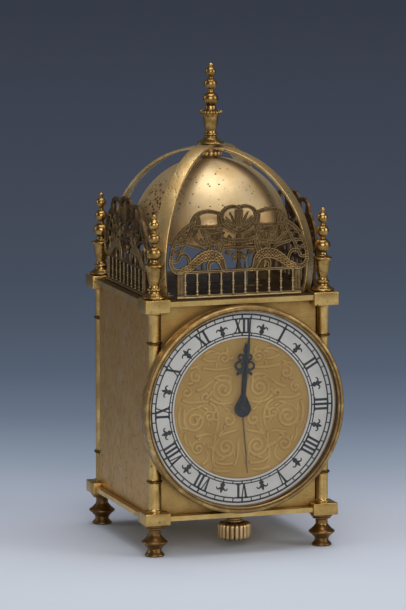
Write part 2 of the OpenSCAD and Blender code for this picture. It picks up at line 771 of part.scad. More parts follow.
module chapter_ring() {
    color("white") facing(dial_front, ring_t) difference() {
        circle(ring_r, $fn = 120);
        circle(ring_hole_r, $fn = 120);
    }
}

// Each child becomes its own slab of a hand that points at the given angle past twelve
module hand_layer(back, t, angle) {
    for (i = [0 : $children - 1]) facing(back, t) rotate(-angle) children(i);
}

module minute_hand() {
    boss_r = 2;
    k = minute_len / 34.8;
    color("black") difference() {
        hand_layer(minute_hand_back, minute_hand_t, minute_angle) {
            circle(boss_r);
            polygon([[-0.55, 0], [-0.5, 20 * k], [-0.65, 23.5 * k], [-0.36, 27 * k],
                [-0.18, minute_len], [0.18, minute_len], [0.36, 27 * k], [0.65, 23.5 * k],
                [0.5, 20 * k], [0.55, 0]]);
        }
        disc_front(minute_hand_back - 1, minute_hand_t + 2, cannon_r + hub_fit);
    }
}

// The pierced head of the hour hand: four rings and two hooks under them
module hour_head(back, t, angle, k) {
    for (s = [-1, 1]) hand_layer(back, t, angle) {
        translate([s * 2.15, 16.2] * k) difference() {
            circle(1.85 * k);
            circle(1.05 * k);
        }
        translate([s * 1.5, 19.4] * k) difference() {
            circle(1.35 * k);
            circle(0.65 * k);
        }
        polygon(k * [[s * 0.3, 13.4], [s * 1.6, 13.2], [s * 2.9, 12.4], [s * 3.2, 13.1],
            [s * 2.3, 14.3], [s * 1.4, 15.6], [s * 0.3, 16]]);
    }
}

module hour_hand() {
    boss_r = 3.2;
    k = hour_len / 25;
    color("black") difference() {
        union() {
            hand_layer(hour_hand_back, hour_hand_t, hour_angle) {
                circle(boss_r);
                polygon([[-2.6, 1.8], [-0.95, 5.4], [-0.8, 13.5 * k], [-0.5, 20.8 * k],
                    [-0.85, 22.2 * k], [-0.1, hour_len], [0.1, hour_len], [0.85, 22.2 * k],
                    [0.5, 20.8 * k], [0.8, 13.5 * k], [0.95, 5.4], [2.6, 1.8]]);
            }
            hour_head(hour_hand_back, hour_hand_t, hour_angle, k);
        }
        disc_front(hour_hand_back - 1, hour_hand_t + 2, hour_pipe_r + hub_fit);
    }
}

module alarm_hand() {
    boss_r = alarm_pipe_r + 0.6;
    color("dimgray") difference() {
        hand_layer(alarm_hand_back, alarm_hand_t, alarm_angle) {
            circle(boss_r);
            polygon([[-0.35, 0], [-0.15, alarm_len], [0.15, alarm_len], [0.35, 0]]);
        }
        disc_front(alarm_hand_back - 1, alarm_hand_t + 2, alarm_pipe_r + hub_fit);
    }
}

// Movement

module plate_outline() {
    translate([-movement_w / 2, plate_low]) square([movement_w, plate_high - plate_low]);
}

module post_holes() {
    for (c = corners) translate(c * post_offset) circle(movement_post_r + run);
}

pivot_arbors = [third_at, fourth_at, escape_at, pallet_at, balance_at, hammer_wheel_at, hammer_at];

module plate_holes() {
    post_holes();
    for (at = pivot_arbors) translate(at) circle(arbor_r + run);
    for (at = [barrel_at, alarm_barrel_at]) translate(at) circle(barrel_arbor_d / 2 + run);
    translate(knob_at) circle(knob_arbor_r + run);
    circle(arbor_r + run);
}

module movement_front_plate() {
    stud_l = minute_y + wheel_t + minute_pinion_t + 0.2 - front_plate_face;
    color("goldenrod") {
        facing(front_plate_back, movement_t) difference() {
            plate_outline();
            plate_holes();
        }
        disc_front(front_plate_face, stud_l, arbor_r, minute_at);
    }
}

module movement_back_plate() {
    color("goldenrod") facing(back_plate_back, movement_t) difference() {
        plate_outline();
        plate_holes();
    }
}

module movement_posts() {
    hole_depth = 6;
    back = -post + panel_t;
    front = post - panel_t;
    color("silver") for (c = corners) difference() {
        disc_front(back, front - back, movement_post_r, c * post_offset);
        disc_front(back - 1, hole_depth + 1, screw_r + run, c * post_offset);
    }
}

spring_strip = 0.35;
spring_turns = 6;
module spring_shape(r0, r1) {
    steps = spring_turns * 20;
    function at(i, off) = let (t = i / steps, r = r0 + (r1 - r0) * t + off)
        [r * cos(360 * spring_turns * t), r * sin(360 * spring_turns * t)];
    polygon(concat([for (i = [0 : steps]) at(i, 0)],
        [for (i = [steps : -1 : 0]) at(i, spring_strip)]));
}

module mainsprings() {
    arbor_rad = barrel_arbor_d / 2;
    for (b = [[barrel_at, barrel_drum_y, barrel_drum_h, going_drum_r],
              [alarm_barrel_at, alarm_drum_y, alarm_drum_h, alarm_drum_r]])
        color("steelblue") {
            arbor(b[0], front_plate_face + gap, back_plate_back - gap, arbor_rad);
            facing(b[1] + barrel_wall + gap, b[2] - 2 * barrel_wall - 2 * gap, b[0])
                spring_shape(arbor_rad - 0.1, b[3] - barrel_wall - 1);
        }
}

going_drum_r = barrel_teeth * barrel_module / 2 - tooth_dedendum * barrel_module - 0.4;
alarm_drum_r = alarm_barrel_teeth * alarm_module / 2 - tooth_dedendum * alarm_module - 0.4;

// A closed spring drum with a toothed rim at its front
module drum(at, y, h, r, teeth, m, turn) {
    bore = barrel_arbor_d / 2 + run;
    difference() {
        union() {
            disc_front(y, h, r, at);
            facing(y + h - 0.1, barrel_teeth_t + 0.4, at) wheel_shape(teeth, m, turn);
        }
        disc_front(y + barrel_wall, h - 2 * barrel_wall, r - barrel_wall, at);
        disc_front(y - 1, h + 4, bore, at);
    }
}

module going_barrel() {
    color("gold") drum(barrel_at, barrel_drum_y, barrel_drum_h, going_drum_r,
        barrel_teeth, barrel_module, barrel_dir + 180);
}

module alarm_barrel() {
    color("gold") drum(alarm_barrel_at, alarm_drum_y, alarm_drum_h, alarm_drum_r,
        alarm_barrel_teeth, alarm_module, hammer_wheel_dir);
}

// A wheel and pinion on one arbor between the plates
module wheel_and_pinion(at, wheel_y, teeth, m, wheel_dir, pinion_y, pinion_t, pinion_teeth,
    pinion_m, pinion_dir, windows) {
    rim = teeth * m / 2 - 3 * m;
    arbor(at, front_plate_face, back_plate_back, arbor_r);
    facing(wheel_y, wheel_t, at) crossed_out(pinion_teeth * pinion_m / 2 + 0.8, rim, windows)
        wheel_shape(teeth, m, wheel_dir);
    facing(pinion_y, pinion_t, at) pinion_shape(pinion_teeth, pinion_m, pinion_dir);
}

module centre_wheel() {
    pinion_t = barrel_teeth_t + 1;
    rim = centre_teeth * centre_module / 2 - 1;
    color("khaki") {
        arbor([0, 0], minute_hand_front - 0.1, back_plate_back, arbor_r);
        facing(centre_wheel_y, wheel_t) crossed_out(2.4, rim, 5)
            wheel_shape(centre_teeth, centre_module, third_dir);
        facing(barrel_teeth_y - 0.6, pinion_t)
            pinion_shape(centre_pinion_teeth, barrel_module, barrel_dir + 180);
    }
}

module third_wheel() {
    color("khaki") wheel_and_pinion(third_at, third_wheel_y, third_teeth, third_module, fourth_dir,
        centre_wheel_y - 0.8, wheel_t + 1.6, train_pinion_teeth, centre_module, third_dir, 5);
}

module fourth_wheel() {
    color("khaki") wheel_and_pinion(fourth_at, fourth_wheel_y, fourth_teeth, fourth_module,
        escape_dir, third_wheel_y - 0.8, wheel_t + 1.6, train_pinion_teeth, third_module,
        fourth_dir, 5);
}

module escape_wheel() {
    teeth = 15;
    root = escape_r - 1;
    color("khaki") {
        arbor(escape_at, front_plate_face, back_plate_back, arbor_r);
        facing(escape_wheel_y, wheel_t, escape_at) polygon([for (i = [0 : teeth - 1], k = [0, 1])
            let (a = 360 * (i + 0.35 * k) / teeth, r = k == 0 ? escape_r : root)
            [r * cos(a), r * sin(a)]]);
        facing(fourth_wheel_y - 0.8, wheel_t + 1.6, escape_at)
            pinion_shape(train_pinion_teeth, fourth_module, escape_dir);
    }
}

module pallet_lever() {
    reach = 1.3;
    span = 2.6;
    fork_l = balance_r - 1.6;
    bar = 0.8;
    color("silver") {
        arbor(pallet_at, front_plate_face, back_plate_back, arbor_r);
        facing(escape_wheel_y, wheel_t, pallet_at) {
            circle(1.1);
            translate([-bar / 2, -span]) square([bar, 2 * span]);
            for (s = [-1, 1]) translate([-bar / 2, s * span - bar / 2]) square([reach, bar]);
            rotate(balance_dir) translate([0, -bar / 2]) square([fork_l, bar]);
        }
    }
}

module balance_wheel() {
    rim_w = 0.8;
    arm_w = 0.9;
    thick = 1;
    color("gold") {
        arbor(balance_at, front_plate_face, back_plate_back, arbor_r);
        facing(balance_y, thick, balance_at) {
            difference() {
                circle(balance_r);
                circle(balance_r - rim_w);
            }
            square([2 * balance_r - rim_w, arm_w], center = true);
            circle(1.4);
        }
    }
}

// Motion work, between the movement and the front panel

module cannon_pinion() {
    color("khaki") difference() {
        union() {
            disc_front(front_plate_face + gap, minute_hand_front - front_plate_face - gap, cannon_r);
            facing(cannon_y, cannon_teeth_t) pinion_shape(cannon_teeth, motion_module, 0);
        }
        disc_front(front_plate_face - 1, minute_hand_front - front_plate_face + 2, arbor_r + hub_fit);
    }
}

module minute_wheel() {
    color("khaki") difference() {
        union() {
            facing(minute_y, wheel_t, minute_at) wheel_shape(minute_teeth, motion_module, 0);
            facing(minute_y + wheel_t - 0.1, minute_pinion_t, minute_at)
                pinion_shape(minute_pinion_teeth, hour_module, 180);
        }
        disc_front(minute_y - 1, minute_pinion_t + 3, arbor_r + run, minute_at);
    }
}

module hour_wheel() {
    color("khaki") difference() {
        union() {
            disc_front(hour_y, hour_hand_front - hour_y, hour_pipe_r);
            facing(hour_y, wheel_t) crossed_out(hour_pipe_r + 0.8, hour_teeth * hour_module / 2 - 1, 5)
                wheel_shape(hour_teeth, hour_module, 180);
        }
        disc_front(hour_y - 1, hour_hand_front - hour_y + 2, hour_bore);
    }
}

module alarm_wheel() {
    color("khaki") difference() {
        union() {
            disc_front(alarm_y, alarm_hand_front - alarm_y, alarm_pipe_r);
            facing(alarm_y, wheel_t) crossed_out(alarm_pipe_r + 1,
                alarm_teeth * motion_module / 2 - 1.4, 6)
                wheel_shape(alarm_teeth, motion_module, knob_dir);
        }
        disc_front(alarm_y - 1, alarm_hand_front - alarm_y + 2, alarm_bore);
    }
}

// Alarm work

module hammer_wheel() {
    teeth = 16;
    color("khaki") {
        arbor(hammer_wheel_at, front_plate_face, back_plate_back, arbor_r);
        facing(hammer_wheel_y, wheel_t, hammer_wheel_at)
            polygon([for (i = [0 : teeth - 1], k = [0, 1])
                let (a = 360 * (i + 0.3 * k) / teeth, r = hammer_wheel_r - 1.1 * k)
                [r * cos(a), r * sin(a)]]);
        facing(alarm_drum_y + alarm_drum_h - 0.6, barrel_teeth_t + 1.4, hammer_wheel_at)
            pinion_shape(hammer_pinion_teeth, alarm_module, hammer_wheel_dir);
    }
}

// The hammer arm stands up through the top plate and leans out to the bell's wall
module hammer() {
    bend = [hammer_arm_x, hammer_bend_z];
    lean = hammer_head - bend;
    lean_l = norm(lean);
    lean_a = atan2(lean[0], lean[1]);
    boss_r = 2.6;
    elbow = 0.5;
    color("silver") {
        arbor(hammer_at, front_plate_face, back_plate_back, arbor_r);
        disc_front(hammer_y - 1.2, 2.4, boss_r, hammer_at);
        translate([hammer_arm_x, -hammer_y, dial_z + hammer_at[1]])
            cylinder(h = hammer_bend_z - hammer_at[1], r = hammer_arm_r);
        translate([hammer_arm_x, -hammer_y, dial_z + hammer_bend_z]) rotate([0, lean_a, 0])
            translate([0, 0, -elbow]) cylinder(h = lean_l + elbow, r = hammer_arm_r - 0.1);
        translate([hammer_head[0], -hammer_y, dial_z + hammer_head[1]]) rotate([0, 90, 0])
            rotate_extrude() bead(0, hammer_head_r, hammer_head_w);
    }
}

// Crown under the case

bush_h = 3.6;
bush_r = 3.5;
crown_top = base_z - bush_h;
groove_z = base_top + crown_pull + 1.8;
groove_h = 1.6;
groove_r = stem_d / 2 - 0.4;
stem_top = groove_z + groove_h + 2.8;

module crown_bush() {
    color("peru") translate([0, -stem_y, 0]) difference() {
        translate([0, 0, base_z - bush_h]) cylinder(h = bush_h, r = bush_r);
        translate([0, 0, base_z - bush_h - 1]) cylinder(h = bush_h + 2, r = stem_d / 2 + run);
    }
}

module crown() {
    flute_r = 0.62;
    r = crown_d / 2;
    edge = 1.2;
    bore_l = 4;
    color("peru") translate([0, -stem_y, crown_top - crown_h]) difference() {
        rotate_extrude() polygon([[0, 0], [r - edge, 0], [r - edge / 3, edge / 3], [r, edge],
            [r, crown_h - edge], [r - edge / 3, crown_h - edge / 3], [r - edge, crown_h], [0, crown_h]]);
        for (i = [0 : crown_flutes - 1]) rotate(360 * i / crown_flutes)
            translate([r + 0.1, 0, -1]) cylinder(h = crown_h + 2, r = flute_r);
        translate([0, 0, crown_h - bore_l]) cylinder(h = bore_l + 1, r = stem_d / 2 + hub_fit);
    }
}

module crown_stem() {
    seat = 3.9;
    low = crown_top - seat;
    wheel_r = 1.5;
    teeth = 10;
    color("silver") translate([0, -stem_y, 0]) {
        translate([0, 0, low]) cylinder(h = groove_z - low, r = stem_d / 2);
        translate([0, 0, groove_z]) cylinder(h = groove_h, r = groove_r);
        translate([0, 0, groove_z + groove_h]) cylinder(h = stem_top - groove_z - groove_h,
            r = stem_d / 2);
        translate([0, 0, stem_top - 1.8]) linear_extrude(1.5)
            polygon(gear_points(teeth, 2 * wheel_r / teeth, pinion_pitch_half, pinion_tip_half));
    }
}

module setting_yoke() {
    thick = 1;
    reach = 9;
    width = 3.4;
    color("silver") translate([0, -stem_y, groove_z + (groove_h - thick) / 2]) difference() {
        translate([-width / 2, -width / 2, 0]) cube([reach, width, thick]);
        translate([0, 0, -1]) cylinder(h = thick + 2, r = groove_r + run);
        translate([-width, -groove_r - run, -1]) cube([width, 2 * (groove_r + run), thick + 2]);
    }
}

// Controls on the back

knob_t = 5.3;
knob_stand = 2.7;
back_reach = post + knob_stand + knob_t;
module alarm_knob() {
    flute_r = 0.5;
    flutes = 24;
    r = knob_d / 2;
    pinion_front = alarm_y + wheel_t + 0.3;
    color("goldenrod") {
        arbor(knob_at, pinion_front, -back_reach + knob_t, knob_arbor_r);
        facing(alarm_y - 0.3, wheel_t + 0.6, knob_at)
            pinion_shape(cannon_teeth, motion_module, knob_dir);
        disc_front(-back_reach + knob_t - 0.1, back_reach - knob_t - post - gap + 0.1, 2, knob_at);
        facing(-back_reach, knob_t, knob_at) difference() {
            circle(r);
            for (i = [0 : flutes - 1]) rotate(360 * i / flutes) translate([r, 0]) circle(flute_r);
        }
    }
}

module stop_button() {
    head_t = 1.6;
    stand = button_travel + gap;
    inside = 5;
    color("goldenrod") {
        disc_front(-post - stand - 0.1, stand + 0.1 + inside, button_stem_r, button_at);
        disc_front(-post - stand - head_t, head_t, button_d / 2, button_at);
        disc_front(-post + panel_t + gap, 1, button_stem_r + 0.8, button_at);
    }
}

base_plate();
top_plate();
corner_blocks();
pillar(corners[0]);  // pillar_front_left
pillar(corners[1]);  // pillar_front_right
pillar(corners[2]);  // pillar_back_left
pillar(corners[3]);  // pillar_back_right
foot(corners[0]);  // foot_front_left
foot(corners[1]);  // foot_front_right
foot(corners[2]);  // foot_back_left
foot(corners[3]);  // foot_back_right
finial(corners[0]);  // finial_front_left
finial(corners[1]);  // finial_front_right
finial(corners[2]);  // finial_back_left
finial(corners[3]);  // finial_back_right
top_finial();
strap_over();
strap_under();
cage_nut();
bell();
bell_stud();
fret(0);  // fret_front
fret(-90);  // fret_left
fret(90);  // fret_right
front_panel();
left_panel();
right_panel();
back_panel();
case_screws();
bezel();
dial_glass();
dial_plate();
chapter_ring();
minute_hand();
hour_hand();
alarm_hand();
movement_front_plate();
movement_back_plate();
movement_posts();
mainsprings();
going_barrel();
alarm_barrel();
centre_wheel();
third_wheel();
fourth_wheel();
escape_wheel();
pallet_lever();
balance_wheel();
cannon_pinion();
minute_wheel();
hour_wheel();
alarm_wheel();
hammer_wheel();
hammer();
crown();
crown_stem();
crown_bush();
setting_yoke();
alarm_knob();
stop_button();
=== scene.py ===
"""Dresses the lantern alarm clock: turned brass, pierced frets, printed dial, and a small studio.

Sizes are in millimetres unless a name says otherwise, and every mesh is made in metres in the
frame's own axes: +Z is up and the dial faces -Y.
"""

import logging
import math
from collections.abc import Callable, Iterable, Sequence
from dataclasses import dataclass
from enum import Enum

import bpy
from mathutils import Matrix, Vector


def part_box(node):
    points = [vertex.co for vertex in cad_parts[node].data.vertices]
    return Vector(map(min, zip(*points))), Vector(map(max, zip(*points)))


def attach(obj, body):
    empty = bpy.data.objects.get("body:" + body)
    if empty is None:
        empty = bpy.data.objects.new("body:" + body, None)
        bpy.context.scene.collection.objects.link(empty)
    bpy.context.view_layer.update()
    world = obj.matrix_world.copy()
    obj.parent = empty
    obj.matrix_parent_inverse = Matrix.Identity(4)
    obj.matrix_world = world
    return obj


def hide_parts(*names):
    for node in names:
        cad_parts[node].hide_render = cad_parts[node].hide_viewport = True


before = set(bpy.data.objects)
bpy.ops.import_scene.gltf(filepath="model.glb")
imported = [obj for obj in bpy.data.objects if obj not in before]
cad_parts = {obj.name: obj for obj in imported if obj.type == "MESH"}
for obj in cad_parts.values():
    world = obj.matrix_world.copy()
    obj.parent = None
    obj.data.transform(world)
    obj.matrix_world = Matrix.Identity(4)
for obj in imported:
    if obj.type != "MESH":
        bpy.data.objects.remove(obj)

log = logging.getLogger("clock")

MM = 0.001
CASE = "case"
MERGE = 0.0005  # vertices closer than this many millimetres are one
CRISP = 35  # edges sharper than this many degrees stay crisp
CORNERS = {
    "front_left": (-1, -1),
    "front_right": (1, -1),
    "back_left": (-1, 1),
    "back_right": (1, 1),
}

Point = tuple[float, float]
Triple = tuple[float, float, float]
Colour = Triple
Line = Sequence[Point]
Stroke = tuple[list[Point], Triple]
Piece = bpy.types.Object


# ---------------- shader wiring


class Wire:
    """A number that runs through a material, with Python's own arithmetic."""

    def __init__(self, shader: "Shader", socket: bpy.types.NodeSocket) -> None:
        """Holds the shader and the output socket that the number comes from."""
        self.shader = shader
        self.socket = socket

    def _math(self, operation: str, *values: "Wire | float") -> "Wire":
        """Adds one Math node.

        Args:
            operation: the Math node's operation.
            values: what its sockets take, in order.

        Returns:
            The node's result.
        """
        return self.shader.node(
            "ShaderNodeMath", {"operation": operation}, dict(enumerate(values))
        )

    def __add__(self, other: "Wire | float") -> "Wire":
        """Sum."""
        return self._math("ADD", self, other)

    def __sub__(self, other: "Wire | float") -> "Wire":
        """Difference."""
        return self._math("SUBTRACT", self, other)

    def __rsub__(self, other: float) -> "Wire":
        """Difference from a plain number."""
        return self._math("SUBTRACT", other, self)

    def __mul__(self, other: "Wire | float") -> "Wire":
        """Product."""
        return self._math("MULTIPLY", self, other)

    def __pow__(self, other: float) -> "Wire":
        """Power."""
        return self._math("POWER", self, other)

    def highest(self, other: "Wire | float") -> "Wire":
        """The larger of two numbers."""
        return self._math("MAXIMUM", self, other)

    def between(self, low: float, high: float) -> "Wire":
        """Spreads the range low..high over 0..1 and cuts off the rest.

        Args:
            low: what becomes 0.
            high: what becomes 1.

        Returns:
            A number from 0 to 1.
        """
        return self.shader.node(
            "ShaderNodeMapRange",
            {"clamp": True},
            {"Value": self, "From Min": low, "From Max": high},
        )

    __radd__ = __add__
    __rmul__ = __mul__


class Shader:
    """One material, and the single method that makes each of its nodes."""

    def __init__(self, name: str) -> None:
        """Starts an empty material.

        Args:
            name: name of the material.
        """
        self.material = bpy.data.materials.new(name)
        self.material.use_nodes = True
        self.tree = self.material.node_tree
        self.tree.nodes.clear()
        self.place = self.node("ShaderNodeTexCoord", output="Object")

    def node(
        self,
        kind: str,
        settings: dict[str, object] | None = None,
        inputs: dict[int | str, object] | None = None,
        output: int | str = 0,
    ) -> Wire:
        """Makes a node, sets it up and links it.

        Args:
            kind: the node's type.
            settings: its own properties; "stops" are a ramp's (place, colour) pairs.
            inputs: values or wires by socket name or index.
            output: the socket that is handed back.

        Returns:
            The chosen output.
        """
        made = self.tree.nodes.new(kind)
        for key, value in (settings or {}).items():
            if key == "stops":
                self._set_stops(made.color_ramp, value)
            else:
                setattr(made, key, value)
        for key, value in (inputs or {}).items():
            socket = made.inputs[key]
            if isinstance(value, Wire):
                self.tree.links.new(value.socket, socket)
            else:
                socket.default_value = value
        if not made.outputs:
            return Wire(self, made.inputs[0])
        return Wire(self, made.outputs[output])

    @staticmethod
    def _set_stops(ramp: bpy.types.ColorRamp, stops: Sequence[tuple[float, Colour]]) -> None:
        """Gives a colour ramp its stops.

        Args:
            ramp: the ramp.
            stops: (place, colour) pairs.
        """
        while len(ramp.elements) < len(stops):
            ramp.elements.new(0.5)
        for element, (at, colour) in zip(ramp.elements, stops, strict=True):
            element.position = at
            element.color = (*colour, 1)

    def stretched(self, scale: Sequence[float]) -> Wire:
        """Object coordinates, scaled for each axis.

        Args:
            scale: factor of each axis.

        Returns:
            The coordinates.
        """
        return self.node(
            "ShaderNodeMapping", {}, {"Vector": self.place, "Scale": Vector(scale)}
        )

    def noise(
        self, size: float, detail: float, where: Wire | None = None, rough: float = 0.55
    ) -> Wire:
        """Cloudy noise.

        Args:
            size: size of a cloud in millimetres.
            detail: finer layers on top.
            where: coordinates in metres, or None for the plain ones.
            rough: how strong the finer layers are.

        Returns:
            A value about 0.5, from 0 to 1.
        """
        return self.node(
            "ShaderNodeTexNoise",
            {},
            {
                "Vector": where or self.place,
                "Scale": 1 / (size * MM),
                "Detail": detail,
                "Roughness": rough,
            },
        )

    def dots(self, size: float, full: float, reach: float, where: Wire | None = None) -> Wire:
        """Round marks at scattered points.

        Args:
            size: mean distance of the points in millimetres.
            full: radius up to which a mark is full, as a share of size.
            reach: radius at which it has faded away.
            where: coordinates in metres, or None for the plain ones.

        Returns:
            1 on the marks and 0 between them.
        """
        away = self.node(
            "ShaderNodeTexVoronoi", {}, {"Vector": where or self.place, "Scale": 1 / (size * MM)}
        )
        return 1 - away.between(full, reach)

    def axis(self, letter: str) -> Wire:
        """One object coordinate in metres."""
        return self.node("ShaderNodeSeparateXYZ", {}, {0: self.place}, letter)

    def mix(self, share: Wire | float, first: object, second: object) -> Wire:
        """Blends two colours.

        Args:
            share: 0 for the first colour and 1 for the second.
            first: a colour or a wire.
            second: a colour or a wire.

        Returns:
            The blend.
        """
        first, second = (c if isinstance(c, Wire) else (*c, 1) for c in (first, second))
        return self.node(
            "ShaderNodeMix", {"data_type": "RGBA"}, {0: share, 6: first, 7: second}, 2
        )

    def crevice(self, reach: float, none: float, full: float) -> Wire:
        """Corners, darkened both for the dirt that gathers there and as painted shade.

        Args:
            reach: how far off a corner's walls may stand, in millimetres.
            none: share of shade at which the darkening starts.
            full: share of shade at which it is full.

        Returns:
            1 deep in corners and 0 on open faces.
        """
        shade = self.node(
            "ShaderNodeAmbientOcclusion", {"samples": 6}, {"Distance": reach * MM}, "AO"
        )
        return (1 - shade).between(none, full)

    def bump(self, height: Wire, depth: float) -> Wire:
        """Surface normal for a height map, whose 1 stands for depth millimetres."""
        return self.node("ShaderNodeBump", {}, {"Height": height, "Distance": depth * MM})

    def close(self, surface: Wire) -> bpy.types.Material:
        """Links the surface to the material's output and hands back the material."""
        self.node("ShaderNodeOutputMaterial", {}, {"Surface": surface})
        return self.material

    def principled(self, **inputs: object) -> bpy.types.Material:
        """Ends the material in one Principled shader; underscores stand for spaces."""
        named = {key.replace("_", " "): value for key, value in inputs.items()}
        return self.close(self.node("ShaderNodeBsdfPrincipled", {}, named))


# ---------------- finishes


@dataclass(frozen=True)
class Brass:
    """A brass finish: its fresh and aged colours, how smooth it is and how it has worn."""

    name: str
    fresh: Colour
    aged: Colour
    # grime: the dark colour of dirt, specks and pits, and also of the painted shade in corners,
    # bands and on shaded faces
    grime: Colour
    ageing: float = 0.4
    smooth: float = 0.22
    rough: float = 0.4
    cloud: float = 9
    grain: Triple = (1, 1, 1)
    grain_size: float = 0.35
    grain_depth: float = 0.012
    specks: float = 0.0
    speck_size: float = 1.6
    speck_reach: float = 0.2
    pits: float = 0.0
    # corners darkened both for dirt and as painted shade: their reach, strength and span
    crevice: float = 1.4
    crevice_strength: float = 0.8
    crevice_span: Point = (0.25, 0.85)
    # heights of ring bands that are darkened: painted shade of their grooves, with grime
    bands: tuple[float, ...] = ()
    band_half: float = 0.75
    spots: float = 0.0
    spot_colour: Colour = (0.30, 0.30, 0.34)
    # a face above this height is darkened as a painted shadow with tarnish, in this colour
    shadow_and_tarnish_height: float = 0.0
    shadow_and_tarnish_colour: Colour = (0.10, 0.065, 0.032)
    # painted shade on lines high up and on the side frets: its strength, and the heights and sides
    # where it starts and is full
    painted_shade: float = 0.0
    painted_shade_heights: Point = (108.0, 124.0)
    painted_shade_sides: Point = (29.0, 31.0)

    def material(self) -> bpy.types.Material:
        """Builds the finish: clouds of ageing, grime and painted shade in corners, specks, brush
        grain and pits.

        Returns:
            The material.
        """
        s = Shader(self.name)
        cloud = s.noise(self.cloud, 5, rough=0.6)
        fine = s.noise(self.grain_size, 2, s.stretched(self.grain))
        young, old = 0.62 - self.ageing * 0.5, 0.86 - self.ageing * 0.4
        age = (cloud + 0.35 * fine - 0.17).between(young, old)
        colour = s.mix(age, self.fresh, self.aged)
        if self.spots:
            spots = s.noise(self.cloud * 1.7, 4, rough=0.7).between(0.58, 0.72) * self.spots
            colour = s.mix(spots, colour, self.spot_colour)
        rough = self.smooth + (self.rough - self.smooth) * age + 0.08 * fine
        height = fine
        if self.specks:
            speck = s.dots(self.speck_size, self.speck_reach * 0.45, self.speck_reach)
            speck = speck * s.noise(self.speck_size * 5, 3).between(0.45, 0.62)
            colour = s.mix(speck * self.specks, colour, self.grime)
            rough = rough + 0.25 * speck * self.specks
            height = height - 1.5 * speck
        if self.pits:
            pit = s.dots(1.1, 0.12, 0.42) * s.noise(7, 4).between(0.46, 0.58)
            height = height - pit * (4 * self.pits)
            colour = s.mix(pit * 0.7 * self.pits, colour, self.grime)
        # The top face above this height is darkened: a painted shadow, with tarnish.
        if self.shadow_and_tarnish_height:
            low, high = (self.shadow_and_tarnish_height - 0.16) * MM, (self.shadow_and_tarnish_height - 0.03) * MM
            upper = s.axis("Z").between(low, high)
            colour = s.mix(upper * (0.75 + 0.4 * fine), colour, self.shadow_and_tarnish_colour)
            rough = rough + 0.12 * upper
        # Painted shade: lines high up and on the side frets turn dark.
        if self.painted_shade:
            high = s.axis("Z").between(*(v * MM for v in self.painted_shade_heights))
            side = ((s.axis("X") ** 2) ** 0.5).between(*(v * MM for v in self.painted_shade_sides))
            colour = s.mix((0.38 * high + 0.55 * side) * self.painted_shade, colour, self.grime)
        # Each ring band is darkened: painted shade of its grooves, with grime.
        for height_mm in self.bands:
            away = ((s.axis("Z") - height_mm * MM) ** 2) ** 0.5
            band = 1 - away.between(self.band_half * 0.6 * MM, self.band_half * MM)
            colour = s.mix(band * 0.85, colour, self.grime)
            rough = rough + 0.15 * band
        # Corners go dark: the dirt that gathers there, and painted shade.
        corner = s.crevice(self.crevice, *self.crevice_span) * self.crevice_strength
        colour = s.mix(corner, colour, self.grime)
        rough = rough + 0.3 * corner
        return s.principled(
            Base_Color=colour,
            Metallic=1.0,
            Roughness=rough,
            Normal=s.bump(height, self.grain_depth),
        )


@dataclass(frozen=True)
class BellSkin:
    """The bell's lacquered skin: fine grain, dark specks, dense pits high on its left side, and a
    painted warm reflection low down.
    """

    name: str = "bell_skin"
    fresh: Colour = (0.65, 0.505, 0.295)
    aged: Colour = (0.56, 0.395, 0.195)
    pitted: Colour = (0.42, 0.27, 0.125)
    painted_reflection: Colour = (0.54, 0.325, 0.13)
    grime: Colour = (0.07, 0.042, 0.02)
    worn_side: Point = (-24.0, -9.0)
    worn_height: float = 130.5
    worn_reach: float = 14

    def material(self) -> bpy.types.Material:
        """Builds the skin.

        Returns:
            The material.
        """
        s = Shader(self.name)
        x, y, z = (s.axis(letter) for letter in "XYZ")
        away = (
            (x - self.worn_side[0] * MM) ** 2
            + (y - self.worn_side[1] * MM) ** 2
            + (z - self.worn_height * MM) ** 2
        ) ** 0.5
        worn = 1 - (away + 0.012 * s.noise(7, 4)).between(
            self.worn_reach * 0.55 * MM, (self.worn_reach + 6) * MM
        )
        cloud = s.noise(11, 5, rough=0.6)
        fine = s.noise(0.3, 2)
        # A painted warm reflection on the lower part of the bell, fading out upwards.
        rim = 1 - (z + 0.003 * s.noise(5, 3)).between(117 * MM, 131 * MM)
        colour = s.mix(cloud.between(0.42, 0.66), self.fresh, self.aged)
        colour = s.mix(rim * 0.8, colour, self.painted_reflection)
        colour = s.mix(worn * 0.8, colour, self.pitted)
        speck = s.dots(2.0, 0.09, 0.22) * s.noise(9, 3).between(0.36, 0.5)
        pit = s.dots(1.5, 0.26, 0.5) * worn.between(0.05, 0.45)
        dark = speck.highest(pit * s.noise(2.4, 2).between(0.34, 0.48))
        colour = s.mix(dark * 0.9, colour, self.grime)
        rough = 0.47 + 0.12 * cloud + 0.06 * worn + 0.2 * dark
        height = 0.10 * fine - 0.9 * dark - 0.6 * pit + 0.35 * s.noise(1.3, 3) * worn
        return s.principled(
            Base_Color=colour, Metallic=1.0, Roughness=rough, Normal=s.bump(height, 0.12)
        )


